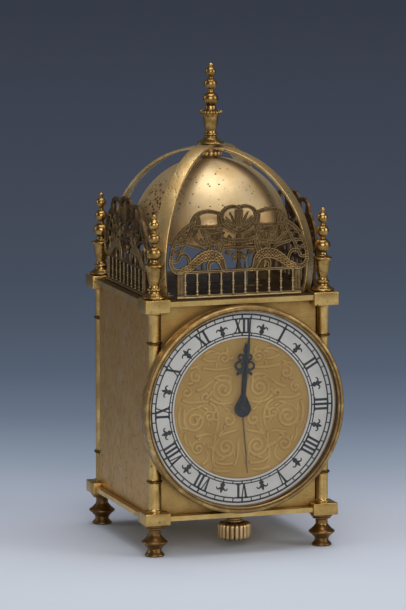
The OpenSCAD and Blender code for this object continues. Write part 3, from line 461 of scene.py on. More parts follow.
@dataclass(frozen=True)
class SidePanelSkin:
    """Brass sheet that was brushed upright and has gone brown, with cool scuffs and dark spots."""

    name: str = "side_panel_skin"
    fresh: Colour = (0.64, 0.39, 0.13)
    aged: Colour = (0.36, 0.19, 0.055)
    scuff: Colour = (0.55, 0.45, 0.33)
    # grime: colour of the dark spots, and of the dirt and painted shade in corners
    grime: Colour = (0.05, 0.035, 0.02)

    def material(self) -> bpy.types.Material:
        """Builds the skin.

        Returns:
            The material.
        """
        s = Shader(self.name)
        streak = s.noise(0.8, 3, s.stretched((1, 1, 0.045)))
        hair = s.noise(0.22, 2, s.stretched((1, 1, 0.03)))
        cloud = s.noise(13, 5, rough=0.62)
        mottle = s.noise(1.9, 4, s.stretched((1, 1, 0.6)), 0.7)
        # Towards the top the sheet is made browner and darker.
        upper = s.axis("Z").between(30 * MM, 92 * MM)
        age = (0.6 * cloud + 0.8 * mottle + 0.12 * streak - 0.3).between(0.34, 0.74)
        age = (age * 0.8 + 0.35 * upper).between(0, 1)
        colour = s.mix(age, self.fresh, self.aged)
        nick = s.dots(2.3, 0.05, 0.13, s.stretched((1, 1, 0.16)))
        nick = nick * s.noise(6, 3).between(0.46, 0.58)
        colour = s.mix(nick * 0.6, colour, self.scuff)
        scuff = (s.noise(9, 4, rough=0.7) + 0.3 * streak).between(0.70, 0.84)
        colour = s.mix(scuff * 0.45, colour, self.scuff)
        spot = s.dots(2.7, 0.08, 0.19) * s.noise(10, 3).between(0.38, 0.52)
        colour = s.mix(spot * 0.8, colour, self.grime)
        # Corners go dark: dirt and painted shade.
        colour = s.mix(s.crevice(2.2, 0.3, 0.9) * 0.8, colour, self.grime)
        rough = 0.34 + 0.14 * age + 0.1 * hair
        height = 0.5 * hair + 0.2 * streak + 0.3 * mottle - 0.8 * spot
        return s.principled(
            Base_Color=colour, Metallic=1.0, Roughness=rough, Normal=s.bump(height, 0.03)
        )


@dataclass(frozen=True)
class DialGilt:
    """The matt gilt ground of the dial's middle."""

    name: str = "dial_gilt_skin"
    low: Colour = (0.415, 0.25, 0.064)
    high: Colour = (0.49, 0.31, 0.092)
    # grime: colour of the painted shade and dirt in the ground's corners
    grime: Colour = (0.22, 0.115, 0.03)

    def material(self) -> bpy.types.Material:
        """Builds the ground.

        Returns:
            The material.
        """
        s = Shader(self.name)
        cloud = s.noise(14, 4)
        stipple = s.noise(0.28, 2)
        colour = s.mix((cloud + 0.3 * stipple - 0.15).between(0.35, 0.65), self.low, self.high)
        # Corners go dark along the scrolls and round the ring: painted shade, with dirt.
        colour = s.mix(s.crevice(0.9, 0.12, 0.7) * 0.85, colour, self.grime)
        return s.principled(
            Base_Color=colour,
            Metallic=0.55,
            Roughness=0.52 + 0.12 * stipple,
            Normal=s.bump(stipple, 0.012),
        )


@dataclass(frozen=True)
class Paint:
    """A painted, printed or silvered coat over metal."""

    name: str
    colour: Colour
    shade: Colour
    roughness: float = 0.45
    metallic: float = 0.0
    gloss: float = 0.5
    grain: Triple = (1, 1, 1)

    def material(self) -> bpy.types.Material:
        """Builds the coat: faint clouds, a fine tooth, and a little dust and painted shade in its
        corners.

        Returns:
            The material.
        """
        s = Shader(self.name)
        cloud = s.noise(8, 4)
        tooth = s.noise(0.25, 2, s.stretched(self.grain))
        colour = s.mix((cloud + 0.4 * tooth - 0.2).between(0.35, 0.7), self.colour, self.shade)
        # Corners go dark: dust and painted shade.
        colour = s.mix(s.crevice(0.6, 0.3, 0.9) * 0.5, colour, self.shade)
        return s.principled(
            Base_Color=colour,
            Metallic=self.metallic,
            Specular_IOR_Level=self.gloss,
            Roughness=self.roughness + 0.12 * tooth,
            Normal=s.bump(tooth, 0.006),
        )


@dataclass(frozen=True)
class Steel:
    """Turned and brushed steel."""

    name: str = "steel_skin"
    bright: Colour = (0.40, 0.385, 0.37)
    dark: Colour = (0.23, 0.22, 0.21)
    # grime: colour of the dirt and painted shade in corners
    grime: Colour = (0.06, 0.05, 0.045)

    def material(self) -> bpy.types.Material:
        """Builds the finish.

        Returns:
            The material.
        """
        s = Shader(self.name)
        ring = s.noise(0.4, 2, s.stretched((1, 1, 6)))
        cloud = s.noise(5, 4)
        colour = s.mix(cloud.between(0.45, 0.75), self.bright, self.dark)
        # Corners go dark: dirt and painted shade.
        colour = s.mix(s.crevice(0.8, 0.3, 0.9) * 0.6, colour, self.grime)
        return s.principled(
            Base_Color=colour,
            Metallic=1.0,
            Roughness=0.24 + 0.16 * ring,
            Normal=s.bump(ring, 0.01),
        )


@dataclass(frozen=True)
class Glass:
    """Flat clear glass: see-through, with a faint shine that grows at a slant."""

    name: str = "glass_skin"

    def material(self) -> bpy.types.Material:
        """Builds the glass; a trace of dust keeps the shine uneven.

        Returns:
            The material.
        """
        s = Shader(self.name)
        slant = s.node("ShaderNodeFresnel", {}, {"IOR": 1.45})
        dust = s.noise(6, 5, rough=0.7)
        share = slant * (0.3 + 0.3 * dust) + 0.004 * dust
        clear = s.node("ShaderNodeBsdfTransparent")
        shine = s.node(
            "ShaderNodeBsdfPrincipled",
            {},
            {"Base Color": (0.9, 0.94, 0.95, 1), "Roughness": 0.05 + 0.05 * dust, "Metallic": 1.0},
        )
        return s.close(s.node("ShaderNodeMixShader", {}, {0: share, 1: clear, 2: shine}))


class Finish(Enum):
    """Every finish of the clock, with the record's slot that it belongs to."""

    POLISHED = (
        "polished_brass",
        Brass("turned_brass_skin", (0.72, 0.48, 0.17), (0.44, 0.27, 0.085), (0.045, 0.024, 0.01),
              ageing=0.55, smooth=0.2, rough=0.38, specks=0.8, speck_size=2.4, crevice=2.0,
              crevice_strength=0.95),
    )
    # its ring bands are darkened as painted shade with grime
    PILLAR = (
        "polished_brass",
        Brass("pillar_skin", (0.74, 0.49, 0.175), (0.44, 0.27, 0.085), (0.06, 0.034, 0.014),
              ageing=0.55, smooth=0.2, rough=0.38, specks=0.8, speck_size=2.4, crevice=2.0,
              crevice_strength=0.95, bands=(28.2, 80.2), grain=(1, 1, 0.2)),
    )
    FINIAL = (
        "polished_brass",
        Brass("finial_skin", (0.60, 0.385, 0.13), (0.27, 0.155, 0.046), (0.03, 0.016, 0.007),
              ageing=0.7, smooth=0.13, rough=0.29, cloud=3.5, specks=0.9, speck_size=1.6,
              crevice=3.2, crevice_strength=1.0, crevice_span=(0.14, 0.52)),
    )
    PLATE = (
        "plate_brass",
        Brass("plate_brass_skin", (0.76, 0.52, 0.19), (0.52, 0.335, 0.11), (0.08, 0.045, 0.015),
              ageing=0.5, smooth=0.24, rough=0.42, specks=0.6, grain=(0.08, 1, 1)),
    )
    # its upper face gets a painted shadow with tarnish
    TOP_PLATE = (
        "plate_brass",
        Brass("top_plate_skin", (0.76, 0.52, 0.19), (0.52, 0.335, 0.11), (0.07, 0.04, 0.016),
              ageing=0.5, smooth=0.24, rough=0.42, specks=0.6, grain=(0.08, 1, 1), crevice=3,
              shadow_and_tarnish_height=95.9),
    )
    FOOT = (
        "foot_bronze",
        Brass("foot_bronze_skin", (0.33, 0.19, 0.068), (0.17, 0.092, 0.033), (0.03, 0.017, 0.007),
              ageing=0.6, smooth=0.2, rough=0.42, specks=0.8, crevice=2.4, crevice_strength=0.95),
    )
    STRAP = (
        "strap_brass",
        Brass("strap_skin", (0.89, 0.645, 0.30), (0.56, 0.37, 0.15), (0.07, 0.038, 0.016),
              ageing=0.55, smooth=0.3, rough=0.46, specks=1.0, speck_size=1.7, speck_reach=0.27,
              pits=0.8, grain_depth=0.03),
    )
    ANTIQUE = (
        "antique_brass",
        Brass("antique_ground_skin", (0.16, 0.095, 0.043), (0.08, 0.047, 0.023),
              (0.018, 0.012, 0.007), ageing=0.6, smooth=0.4, rough=0.6, cloud=4, specks=0.5,
              crevice=0.8),
    )
    # ENGRAVED and BALUSTER lines go dark high up and on the side frets, as painted shade
    ENGRAVED = (
        "antique_brass",
        Brass("engraved_line_skin", (0.68, 0.49, 0.225), (0.39, 0.265, 0.12), (0.06, 0.037, 0.018),
              ageing=0.5, smooth=0.3, rough=0.5, cloud=4, crevice=0.5, crevice_strength=0.5,
              painted_shade=0.9),
    )
    BALUSTER = (
        "antique_brass",
        Brass("baluster_skin", (0.70, 0.53, 0.28), (0.46, 0.32, 0.155), (0.07, 0.046, 0.024),
              ageing=0.4, smooth=0.28, rough=0.45, cloud=4, crevice=0.5, crevice_strength=0.5,
              painted_shade=0.9),
    )
    BELL = ("bell_brass", BellSkin())
    FRONT_PANEL = (
        "panel_brass",
        Brass("front_panel_skin", (0.55, 0.36, 0.12), (0.41, 0.243, 0.081), (0.06, 0.035, 0.015),
              ageing=0.5, smooth=0.34, rough=0.46, cloud=12, specks=0.5, crevice=3.5,
              grain=(0.1, 1, 1), spots=0.35, spot_colour=(0.36, 0.20, 0.09)),
    )
    SIDE_PANEL = ("panel_brass", SidePanelSkin())
    BEZEL = (
        "bezel_brass",
        Brass("bezel_skin", (0.68, 0.475, 0.19), (0.31, 0.19, 0.075), (0.04, 0.022, 0.011),
              ageing=0.8, smooth=0.24, rough=0.42, cloud=3.5, specks=0.9, crevice=1.2,
              crevice_span=(0.15, 0.6)),
    )
    GLASS = ("clear_glass", Glass())
    GILT = ("dial_gilt", DialGilt())
    SCROLL = (
        "dial_gilt",
        DialGilt("scroll_gilt_skin", (0.462, 0.291, 0.083), (0.55, 0.364, 0.12)),
    )
    SILVERED = (
        "chapter_white",
        Paint("silvered_ring_skin", (0.64, 0.625, 0.595), (0.56, 0.545, 0.515), 0.45, 0.0),
    )
    INK = (
        "chapter_white",
        Paint("ink_skin", (0.022, 0.024, 0.026), (0.04, 0.04, 0.04), 0.5, gloss=0.25),
    )
    HAND = (
        "hand_black",
        Paint("hand_skin", (0.012, 0.012, 0.014), (0.026, 0.025, 0.026), 0.36, gloss=0.35),
    )
    ALARM_HAND = (
        "hand_black",
        Brass("alarm_hand_skin", (0.22, 0.15, 0.08), (0.10, 0.07, 0.04), (0.03, 0.02, 0.012),
              ageing=0.5, smooth=0.3, rough=0.45, cloud=4, crevice=0.5),
    )
    CROWN = (
        "crown_brass",
        Brass("crown_skin", (0.68, 0.48, 0.24), (0.46, 0.30, 0.14), (0.07, 0.04, 0.02),
              ageing=0.5, smooth=0.3, rough=0.46, crevice=1.2, crevice_strength=0.95,
              crevice_span=(0.12, 0.55), cloud=4),
    )
    STEEL = ("steel", Steel())
    MOVEMENT = (
        "movement_brass",
        Brass("movement_skin", (0.78, 0.60, 0.26), (0.62, 0.45, 0.17), (0.12, 0.07, 0.02),
              ageing=0.3, smooth=0.2, rough=0.34, cloud=6, grain=(0.1, 1, 1), crevice=0.8),
    )

    @property
    def slot(self) -> str:
        """The record's material slot."""
        return self.value[0]

    @property
    def skin(self) -> bpy.types.Material:
        """The material, made at its first use."""
        recipe = self.value[1]
        return bpy.data.materials.get(recipe.name) or recipe.material()


# ---------------- places and outlines


@dataclass(frozen=True)
class Face:
    """A flat face to work on: local x is right, local y is up, local z is out of it.

    Points and lengths are millimetres in the frame's axes.
    """

    origin: Triple
    right: Triple = (1, 0, 0)
    up: Triple = (0, 0, 1)

    @property
    def matrix(self) -> Matrix:
        """How the face lies.

        Returns:
            The matrix from its own millimetres to the frame's metres.
        """
        right, up = Vector(self.right), Vector(self.up)
        out = right.cross(up)
        turn = Matrix((right, up, out)).transposed().to_4x4()
        return Matrix.Translation(Vector(self.origin) * MM) @ turn @ Matrix.Scale(MM, 4)

    def turned(self, degrees: float) -> "Face":
        """The same face, turned about the frame's upright axis."""
        turn = Matrix.Rotation(math.radians(degrees), 3, "Z")
        return Face(*(tuple(turn @ Vector(v)) for v in (self.origin, self.right, self.up)))


def arc(at: Point, radius: float, start: float, stop: float, steps: int) -> list[Point]:
    """Points of an arc.

    Args:
        at: centre.
        radius: its radius.
        start: first angle in degrees, from +x towards +y.
        stop: last angle.
        steps: number of chords.

    Returns:
        The points, both ends included.
    """
    angles = [math.radians(start + (stop - start) * i / steps) for i in range(steps + 1)]
    return [(at[0] + radius * math.cos(a), at[1] + radius * math.sin(a)) for a in angles]


def bezier(p: Sequence[Point], steps: int) -> list[Point]:
    """Points of a cubic curve.

    Args:
        p: the four control points.
        steps: number of chords.

    Returns:
        The points, both ends included.
    """
    out = []
    for i in range(steps + 1):
        t = i / steps
        u = 1 - t
        k = (u * u * u, 3 * u * u * t, 3 * u * t * t, t * t * t)
        out.append(tuple(sum(w * q[a] for w, q in zip(k, p, strict=True)) for a in (0, 1)))
    return out


def spiral(at: Point, radius: float, start: float, turns: float) -> list[Point]:
    """Points of a spiral that winds in.

    Args:
        at: its eye.
        radius: radius of its outer end.
        start: angle of the outer end in degrees.
        turns: turns to the eye, negative for clockwise.

    Returns:
        The points from outside in.
    """
    close = 0.12  # radius of the inner end as a share of the outer one
    steps = max(10, round(abs(turns) * 22))
    out = []
    for i in range(steps + 1):
        t = i / steps
        r = radius * (close + (1 - close) * (1 - t) ** 1.1)
        a = math.radians(start + 360 * turns * t)
        out.append((at[0] + r * math.cos(a), at[1] + r * math.sin(a)))
    return out


def mirrored(line: Line) -> list[Point]:
    """The line on the other side of x = 0."""
    return [(-p[0], p[1]) for p in line]


def both_halves(lines: Iterable[Line]) -> list[Line]:
    """The lines, and after them the same lines on the other side of x = 0."""
    lines = list(lines)
    return lines + [mirrored(line) for line in lines]


def ray(at: Point, degrees: float, reaches: Iterable[float]) -> list[Point]:
    """Points at these distances from a place, all in one direction."""
    a = math.radians(degrees)
    return [(at[0] + r * math.cos(a), at[1] + r * math.sin(a)) for r in reaches]


def offset(line: Line, widths: Sequence[float], side: float) -> list[Point]:
    """A line beside another one.

    Args:
        line: the middle line.
        widths: width at its start, middle and end.
        side: 1 for the left of its run and -1 for the right, as a share of half the width.

    Returns:
        The points of the line beside it.
    """
    last = len(line) - 1
    out = []
    for i, p in enumerate(line):
        a, b = line[max(i - 1, 0)], line[min(i + 1, last)]
        t = 2 * i / last
        k = 0 if t <= 1 else 1
        width = widths[k] + (widths[k + 1] - widths[k]) * (t - k)
        run = math.hypot(b[0] - a[0], b[1] - a[1]) or 1
        out.append((p[0] - side * width / 2 * (b[1] - a[1]) / run,
                    p[1] + side * width / 2 * (b[0] - a[0]) / run))
    return out


def strokes(*rows: tuple[Sequence[Point], int, Triple]) -> list[Stroke]:
    """Curved strokes, from rows of four control points, number of chords, and widths."""
    return [(bezier(points, steps), widths) for points, steps, widths in rows]


def ribbon(line: Line, widths: Sequence[float]) -> list[Point]:
    """Closed outline along both sides of a line, with its width at start, middle and end."""
    return offset(line, widths, 1) + offset(line, widths, -1)[::-1]


@dataclass(frozen=True)
class Profile:
    """Outline of a turned part.

    Stations are (height, radius), and beads are (height, radius, thickness).
    """

    stations: Sequence[Point]
    beads: Sequence[Triple] = ()
    soften: int = 1
    step: float = 0.11

    def radius(self, height: float) -> float:
        """Radius at a height, beads included.

        Args:
            height: a height in millimetres.

        Returns:
            The radius there.
        """
        last = self.stations[-1]
        r = last[1]
        for (z0, r0), (z1, r1) in zip(self.stations, self.stations[1:], strict=False):
            if z0 <= height <= z1:
                t = (height - z0) / max(z1 - z0, 1e-6)
                r = r0 + (r1 - r0) * t
                break
        for z, widest, thick in self.beads:
            half = thick / 2
            if abs(height - z) < half:
                r = max(r, widest - half + math.sqrt(half * half - (height - z) ** 2))
        return r

    def points(self, scale: float = 1.0) -> list[Point]:
        """Outline from the foot to the tip, closed on the axis.

        Args:
            scale: factor of the heights.

        Returns:
            Radius and height of each point.
        """
        low, high = self.stations[0][0], self.stations[-1][0]
        count = round((high - low) / self.step)
        heights = [low + (high - low) * i / count for i in range(count + 1)]
        radii = [self.radius(z) for z in heights]
        for _ in range(self.soften):
            inner = [(a + 2 * b + c) / 4 for a, b, c in zip(radii, radii[1:], radii[2:])]
            radii = [radii[0], *inner, radii[-1]]
        outline = thinned(list(zip(radii, heights, strict=True)), 0.012)
        return [(r, z * scale) for r, z in [(0.0, low), *outline, (0.0, high)]]


def thinned(line: list[Point], slack: float) -> list[Point]:
    """Leaves out the points that a straight run between others stands for.

    Args:
        line: the line.
        slack: how far off the run they may lie.

    Returns:
        The line without them.
    """
    if len(line) < 3:
        return line
    (ax, ay), (bx, by) = line[0], line[-1]
    length = math.hypot(bx - ax, by - ay) or 1e-9
    away = [abs((bx - ax) * (ay - y) - (ax - x) * (by - ay)) / length for x, y in line]
    far = max(range(len(line)), key=away.__getitem__)
    if away[far] < slack:
        return [line[0], line[-1]]
    return thinned(line[: far + 1], slack)[:-1] + thinned(line[far:], slack)


# ---------------- the bench


class Bench:
    """Steps of modelling that every sub-assembly shares, done with Blender's own operators."""

    def __init__(self) -> None:
        """Starts with nothing selected and an empty list of pieces."""
        self.made: list[Piece] = []
        bpy.ops.object.select_all(action="DESELECT")

    @staticmethod
    def pick(*objects: Piece) -> None:
        """Selects these objects and nothing else.

        Args:
            objects: the objects; the last one becomes active.
        """
        bpy.ops.object.select_all(action="DESELECT")
        for o in objects:
            o.select_set(True)
            bpy.context.view_layer.objects.active = o

    def shape(self, piece: Piece, *steps: Callable[[], object]) -> Piece:
        """Runs edit-mode steps on a piece, all of it selected.

        Args:
            piece: the mesh to shape.
            steps: calls without arguments, such as a lambda that runs an operator.

        Returns:
            The piece.
        """
        self.pick(piece)
        bpy.ops.object.mode_set(mode="EDIT")
        bpy.ops.mesh.select_all(action="SELECT")
        for step in steps:
            step()
        bpy.ops.object.mode_set(mode="OBJECT")
        return piece

    def settle(self, piece: Piece, place: Matrix | None = None) -> Piece:
        """Puts a piece in place and moves that place into its mesh.

        Args:
            piece: the piece.
            place: where it goes, or None to stay.

        Returns:
            The piece.
        """
        if place is not None:
            piece.matrix_world = place @ piece.matrix_world
        self.pick(piece)
        bpy.ops.object.transform_apply(location=True, rotation=True, scale=True)
        return piece

    def outward(self, piece: Piece, slack: float = 0.002) -> Piece:
        """Merges doubles and turns every face outwards.

        Args:
            piece: a closed mesh.
            slack: distance of doubles in millimetres.

        Returns:
            The piece.
        """
        return self.shape(
            piece,
            lambda: bpy.ops.mesh.remove_doubles(threshold=slack * MM),
            lambda: bpy.ops.mesh.normals_make_consistent(inside=False),
        )

    def smooth(self, piece: Piece, degrees: float = CRISP) -> Piece:
        """Smooth shading that keeps sharp edges.

        Args:
            piece: the piece.
            degrees: edges sharper than this stay.

        Returns:
            The piece.
        """
        self.pick(piece)
        bpy.ops.object.shade_smooth_by_angle(angle=math.radians(degrees))
        return piece

    def modify(self, piece: Piece, kind: str, **settings: object) -> Piece:
        """Adds a modifier and applies it.

        Args:
            piece: the piece.
            kind: the modifier's type.
            settings: its settings.

        Returns:
            The piece.
        """
        self.pick(piece)
        modifier = piece.modifiers.new(kind.title(), kind)
        for key, value in settings.items():
            setattr(modifier, key, value)
        bpy.ops.object.modifier_apply(modifier=modifier.name)
        return piece

    def bevel(self, piece: Piece, width: float, segments: int) -> Piece:
        """Rounds the sharp edges.

        Args:
            piece: the piece.
            width: radius in millimetres.
            segments: steps of the rounding.

        Returns:
            The piece.
        """
        return self.modify(
            piece, "BEVEL", width=width * MM, segments=segments, limit_method="ANGLE",
            angle_limit=math.radians(30), harden_normals=False, use_clamp_overlap=True,
        )

    def curve(
        self, name: str, lines: Iterable[Line], closed: bool, flat: bool, **settings: object
    ) -> Piece:
        """Draws lines with straight runs between their points, in millimetres.

        Args:
            name: name of the piece.
            lines: the lines; a third number in a point is its thickness there.
            closed: whether each line ends where it starts.
            flat: whether the closed lines are filled.
            settings: settings of the curve, such as extrude or bevel_depth.

        Returns:
            The curve, made a mesh, still in its own millimetres.
        """
        bpy.ops.object.select_all(action="DESELECT")
        bpy.ops.curve.primitive_nurbs_path_add(location=(0, 0, 0))
        piece = bpy.context.active_object
        piece.name = name
        data = piece.data
        data.splines.clear()
        data.dimensions = "2D" if flat else "3D"
        data.fill_mode = "BOTH" if flat else "FULL"
        for line in lines:
            spline = data.splines.new("POLY")
            spline.points.add(len(line) - 1)
            for point, p in zip(spline.points, line, strict=True):
                point.co = (p[0], p[1], 0, 1)
                point.radius = p[2] if len(p) > 2 else 1
            spline.use_cyclic_u = closed
        for key, value in settings.items():
            setattr(data, key, value)
        self.pick(piece)
        bpy.ops.object.convert(target="MESH")
        return bpy.context.active_object

    def turned(
        self,
        name: str,
        profile: Sequence[Point],
        at: Sequence[float],
        steps: int = 56,
        forward: bool = False,
        angle: float = CRISP,
    ) -> Piece:
        """Spins a profile into a turned part.

        Args:
            name: name of the piece.
            profile: radius and height in millimetres, in order along the outline.
            at: where the profile's zero stands, in millimetres.
            steps: facets round the part.
            forward: whether the axis points at the dial's reader instead of up.
            angle: edges sharper than this stay crisp.

        Returns:
            The closed part.
        """
        piece = self.curve(name, [profile], closed=False, flat=False)
        stand = Face(tuple(at), (1, 0, 0), (0, -1, 0) if forward else (0, 0, 1))
        self.settle(piece, stand.matrix)
        centre, axis = Vector(at) * MM, (0, 1, 0) if forward else (0, 0, 1)
        self.shape(
            piece,
            lambda: bpy.ops.mesh.spin(steps=steps, angle=math.tau, center=centre, axis=axis),
        )
        self.outward(piece)
        return self.smooth(piece, angle)

    def plate(
        self,
        name: str,
        outlines: Iterable[Line],
        thick: float,
        face: Face,
        bevel: float,
        rounds: int,
        angle: float = CRISP,
    ) -> Piece:
        """Cuts a flat plate with rounded edges; an outline inside another is a hole.

        Args:
            name: name of the piece.
            outlines: closed outlines in the face's millimetres.
            thick: thickness; the plate's back lies on the face.
            face: where it lies.
            bevel: radius of the rounded edges.
            rounds: steps of the rounding.
            angle: edges sharper than this stay crisp.

        Returns:
            The plate.
        """
        piece = self.curve(
            name, outlines, closed=True, flat=True, extrude=thick / 2 - bevel,
            bevel_depth=bevel, offset=-bevel, bevel_resolution=rounds,
        )
        self.settle(piece, face.matrix @ Matrix.Translation((0, 0, thick / 2)))
        self.outward(piece, MERGE)
        return self.smooth(piece, angle)

    def relief(
        self,
        name: str,
        lines: Iterable[Line],
        wide: float,
        high: float,
        face: Face,
        sides: int = 1,
        closed: bool = False,
    ) -> Piece:
        """Lays low rounded ridges on a face, half sunk in it.

        Args:
            name: name of the piece.
            lines: the ridges' middle lines.
            wide: their width in millimetres.
            high: how far they stand out.
            face: where they lie.
            sides: smoothness of their section.
            closed: whether each line ends where it starts.

        Returns:
            The ridges as one mesh.
        """
        piece = self.curve(
            name, lines, closed=closed, flat=False, bevel_depth=wide / 2,
            bevel_resolution=sides, use_fill_caps=True,
        )
        squeeze = Matrix.Diagonal((1, 1, 2 * high / wide, 1))
        self.settle(piece, face.matrix @ squeeze)
        self.outward(piece, MERGE)
        return self.smooth(piece, 60)

    def copy_of(self, node: str, name: str, bevel: float, segments: int) -> Piece:
        """Copies a CAD node, merges its loose triangles and rounds its sharp edges.

        Args:
            node: the CAD node.
            name: name of the new piece.
            bevel: radius of the rounding in millimetres.
            segments: its steps.

        Returns:
            The new piece; the node itself is left alone.
        """
        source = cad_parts[node]
        piece = source.copy()
        piece.data = source.data.copy()
        piece.name = name
        piece.parent = None
        for key in [k for k in piece.keys() if k.startswith("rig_")]:
            del piece[key]
        bpy.context.scene.collection.objects.link(piece)
        self.shape(
            piece,
            lambda: bpy.ops.mesh.remove_doubles(threshold=MERGE * MM),
            lambda: bpy.ops.mesh.dissolve_limited(angle_limit=math.radians(0.5)),
        )
        self.bevel(piece, bevel, segments)
        self.outward(piece, MERGE)
        self.smooth(piece)
        return self.modify(piece, "WEIGHTED_NORMAL", keep_sharp=True, weight=90)

    def renew(
        self,
        node: str,
        name: str,
        bevel: float,
        finish: Finish,
        body: str = CASE,
        segments: int = 2,
    ) -> None:
        """Lets a rounded and finished copy stand for a CAD node.

        Args:
            node: the CAD node.
            name: name of the new piece.
            bevel: radius of the rounding in millimetres.
            finish: its finish.
            body: the CAD body that carries it.
            segments: steps of the rounding.
        """
        self.fit(self.copy_of(node, name, bevel, segments), finish, body, node)

    def twin(self, piece: Piece, name: str, move: Matrix) -> Piece:
        """Copies a piece with its own mesh and moves the copy.

        Args:
            piece: the piece.
            name: name of the copy.
            move: how the copy is moved.

        Returns:
            The copy.
        """
        copy = piece.copy()
        copy.data = piece.data.copy()
        copy.name = name
        bpy.context.scene.collection.objects.link(copy)
        return self.settle(copy, move)

    def join(self, name: str, pieces: Sequence[Piece]) -> Piece:
        """Joins pieces into one.

        Args:
            name: name of the whole.
            pieces: the pieces.

        Returns:
            The whole.
        """
        self.pick(*pieces)
        bpy.ops.object.join()
        whole = bpy.context.active_object
        whole.name = name
        return whole

    def ball_ring(
        self, name: str, count: int, radius: float, height: float, ball: float, segments: int = 20
    ) -> list[Piece]:
        """Sets round beads in a level ring about the upright axis.

        Args:
            name: first word of their names.
            count: how many there are.
            radius: radius of the ring in millimetres.
            height: its height.
            ball: radius of a bead.
            segments: facets round a bead.

        Returns:
            The beads, a little taller than wide.
        """
        beads = []
        for i in range(count):
            x, y = ray((0, 0), 360 * (i + 0.5) / count, [radius])[0]
            at = Vector((x, y, height)) * MM
            bpy.ops.object.select_all(action="DESELECT")
            bpy.ops.mesh.primitive_uv_sphere_add(
                segments=segments, ring_count=max(6, segments // 2), radius=ball * MM, location=at
            )
            bead = bpy.context.active_object
            bead.name = f"{name}_{i}"
            bead.scale.z = 1.15
            beads.append(self.smooth(self.settle(bead)))
        return beads

    def fit(self, piece: Piece, finish: Finish, body: str = CASE, *nodes: str) -> None:
        """Finishes a piece, lets it ride on a body, and lets it stand for CAD nodes.

        Args:
            piece: the finished mesh.
            finish: its finish.
            body: the CAD body that carries it.
            nodes: the CAD nodes that it replaces.
        """
        piece.data.materials.clear()
        piece.data.materials.append(finish.skin)
        for face in piece.data.polygons:
            face.material_index = 0
        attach(piece, body)
        if nodes:
            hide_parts(*nodes)
        self.made.append(piece)
        log.info("%s: %d faces, rides on %s", piece.name, len(piece.data.polygons), body)

    @staticmethod
    def paint_node(node: str, finish: Finish) -> None:
        """Gives a CAD node that stays in view its finish.

        Args:
            node: the CAD node.
            finish: its finish.
        """
        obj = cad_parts[node]
        if not obj.material_slots:
            obj.data.materials.append(finish.skin)
        for slot in obj.material_slots:
            slot.material = finish.skin
        log.info("%s: CAD node in %s", node, finish.name.lower())


def middle(node: str) -> Vector:
    """Middle of a CAD node's box, in millimetres."""
    low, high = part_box(node)
    return (low + high) / 2 / MM


def span(node: str) -> Vector:
    """Size of a CAD node's box, in millimetres."""
    low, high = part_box(node)
    return (high - low) / MM


def low_of(node: str) -> Vector:
    """Lowest corner of a CAD node's box, in millimetres."""
    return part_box(node)[0] / MM


def high_of(node: str) -> Vector:
    """Highest corner of a CAD node's box, in millimetres."""
    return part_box(node)[1] / MM


# ---------------- turned uprights


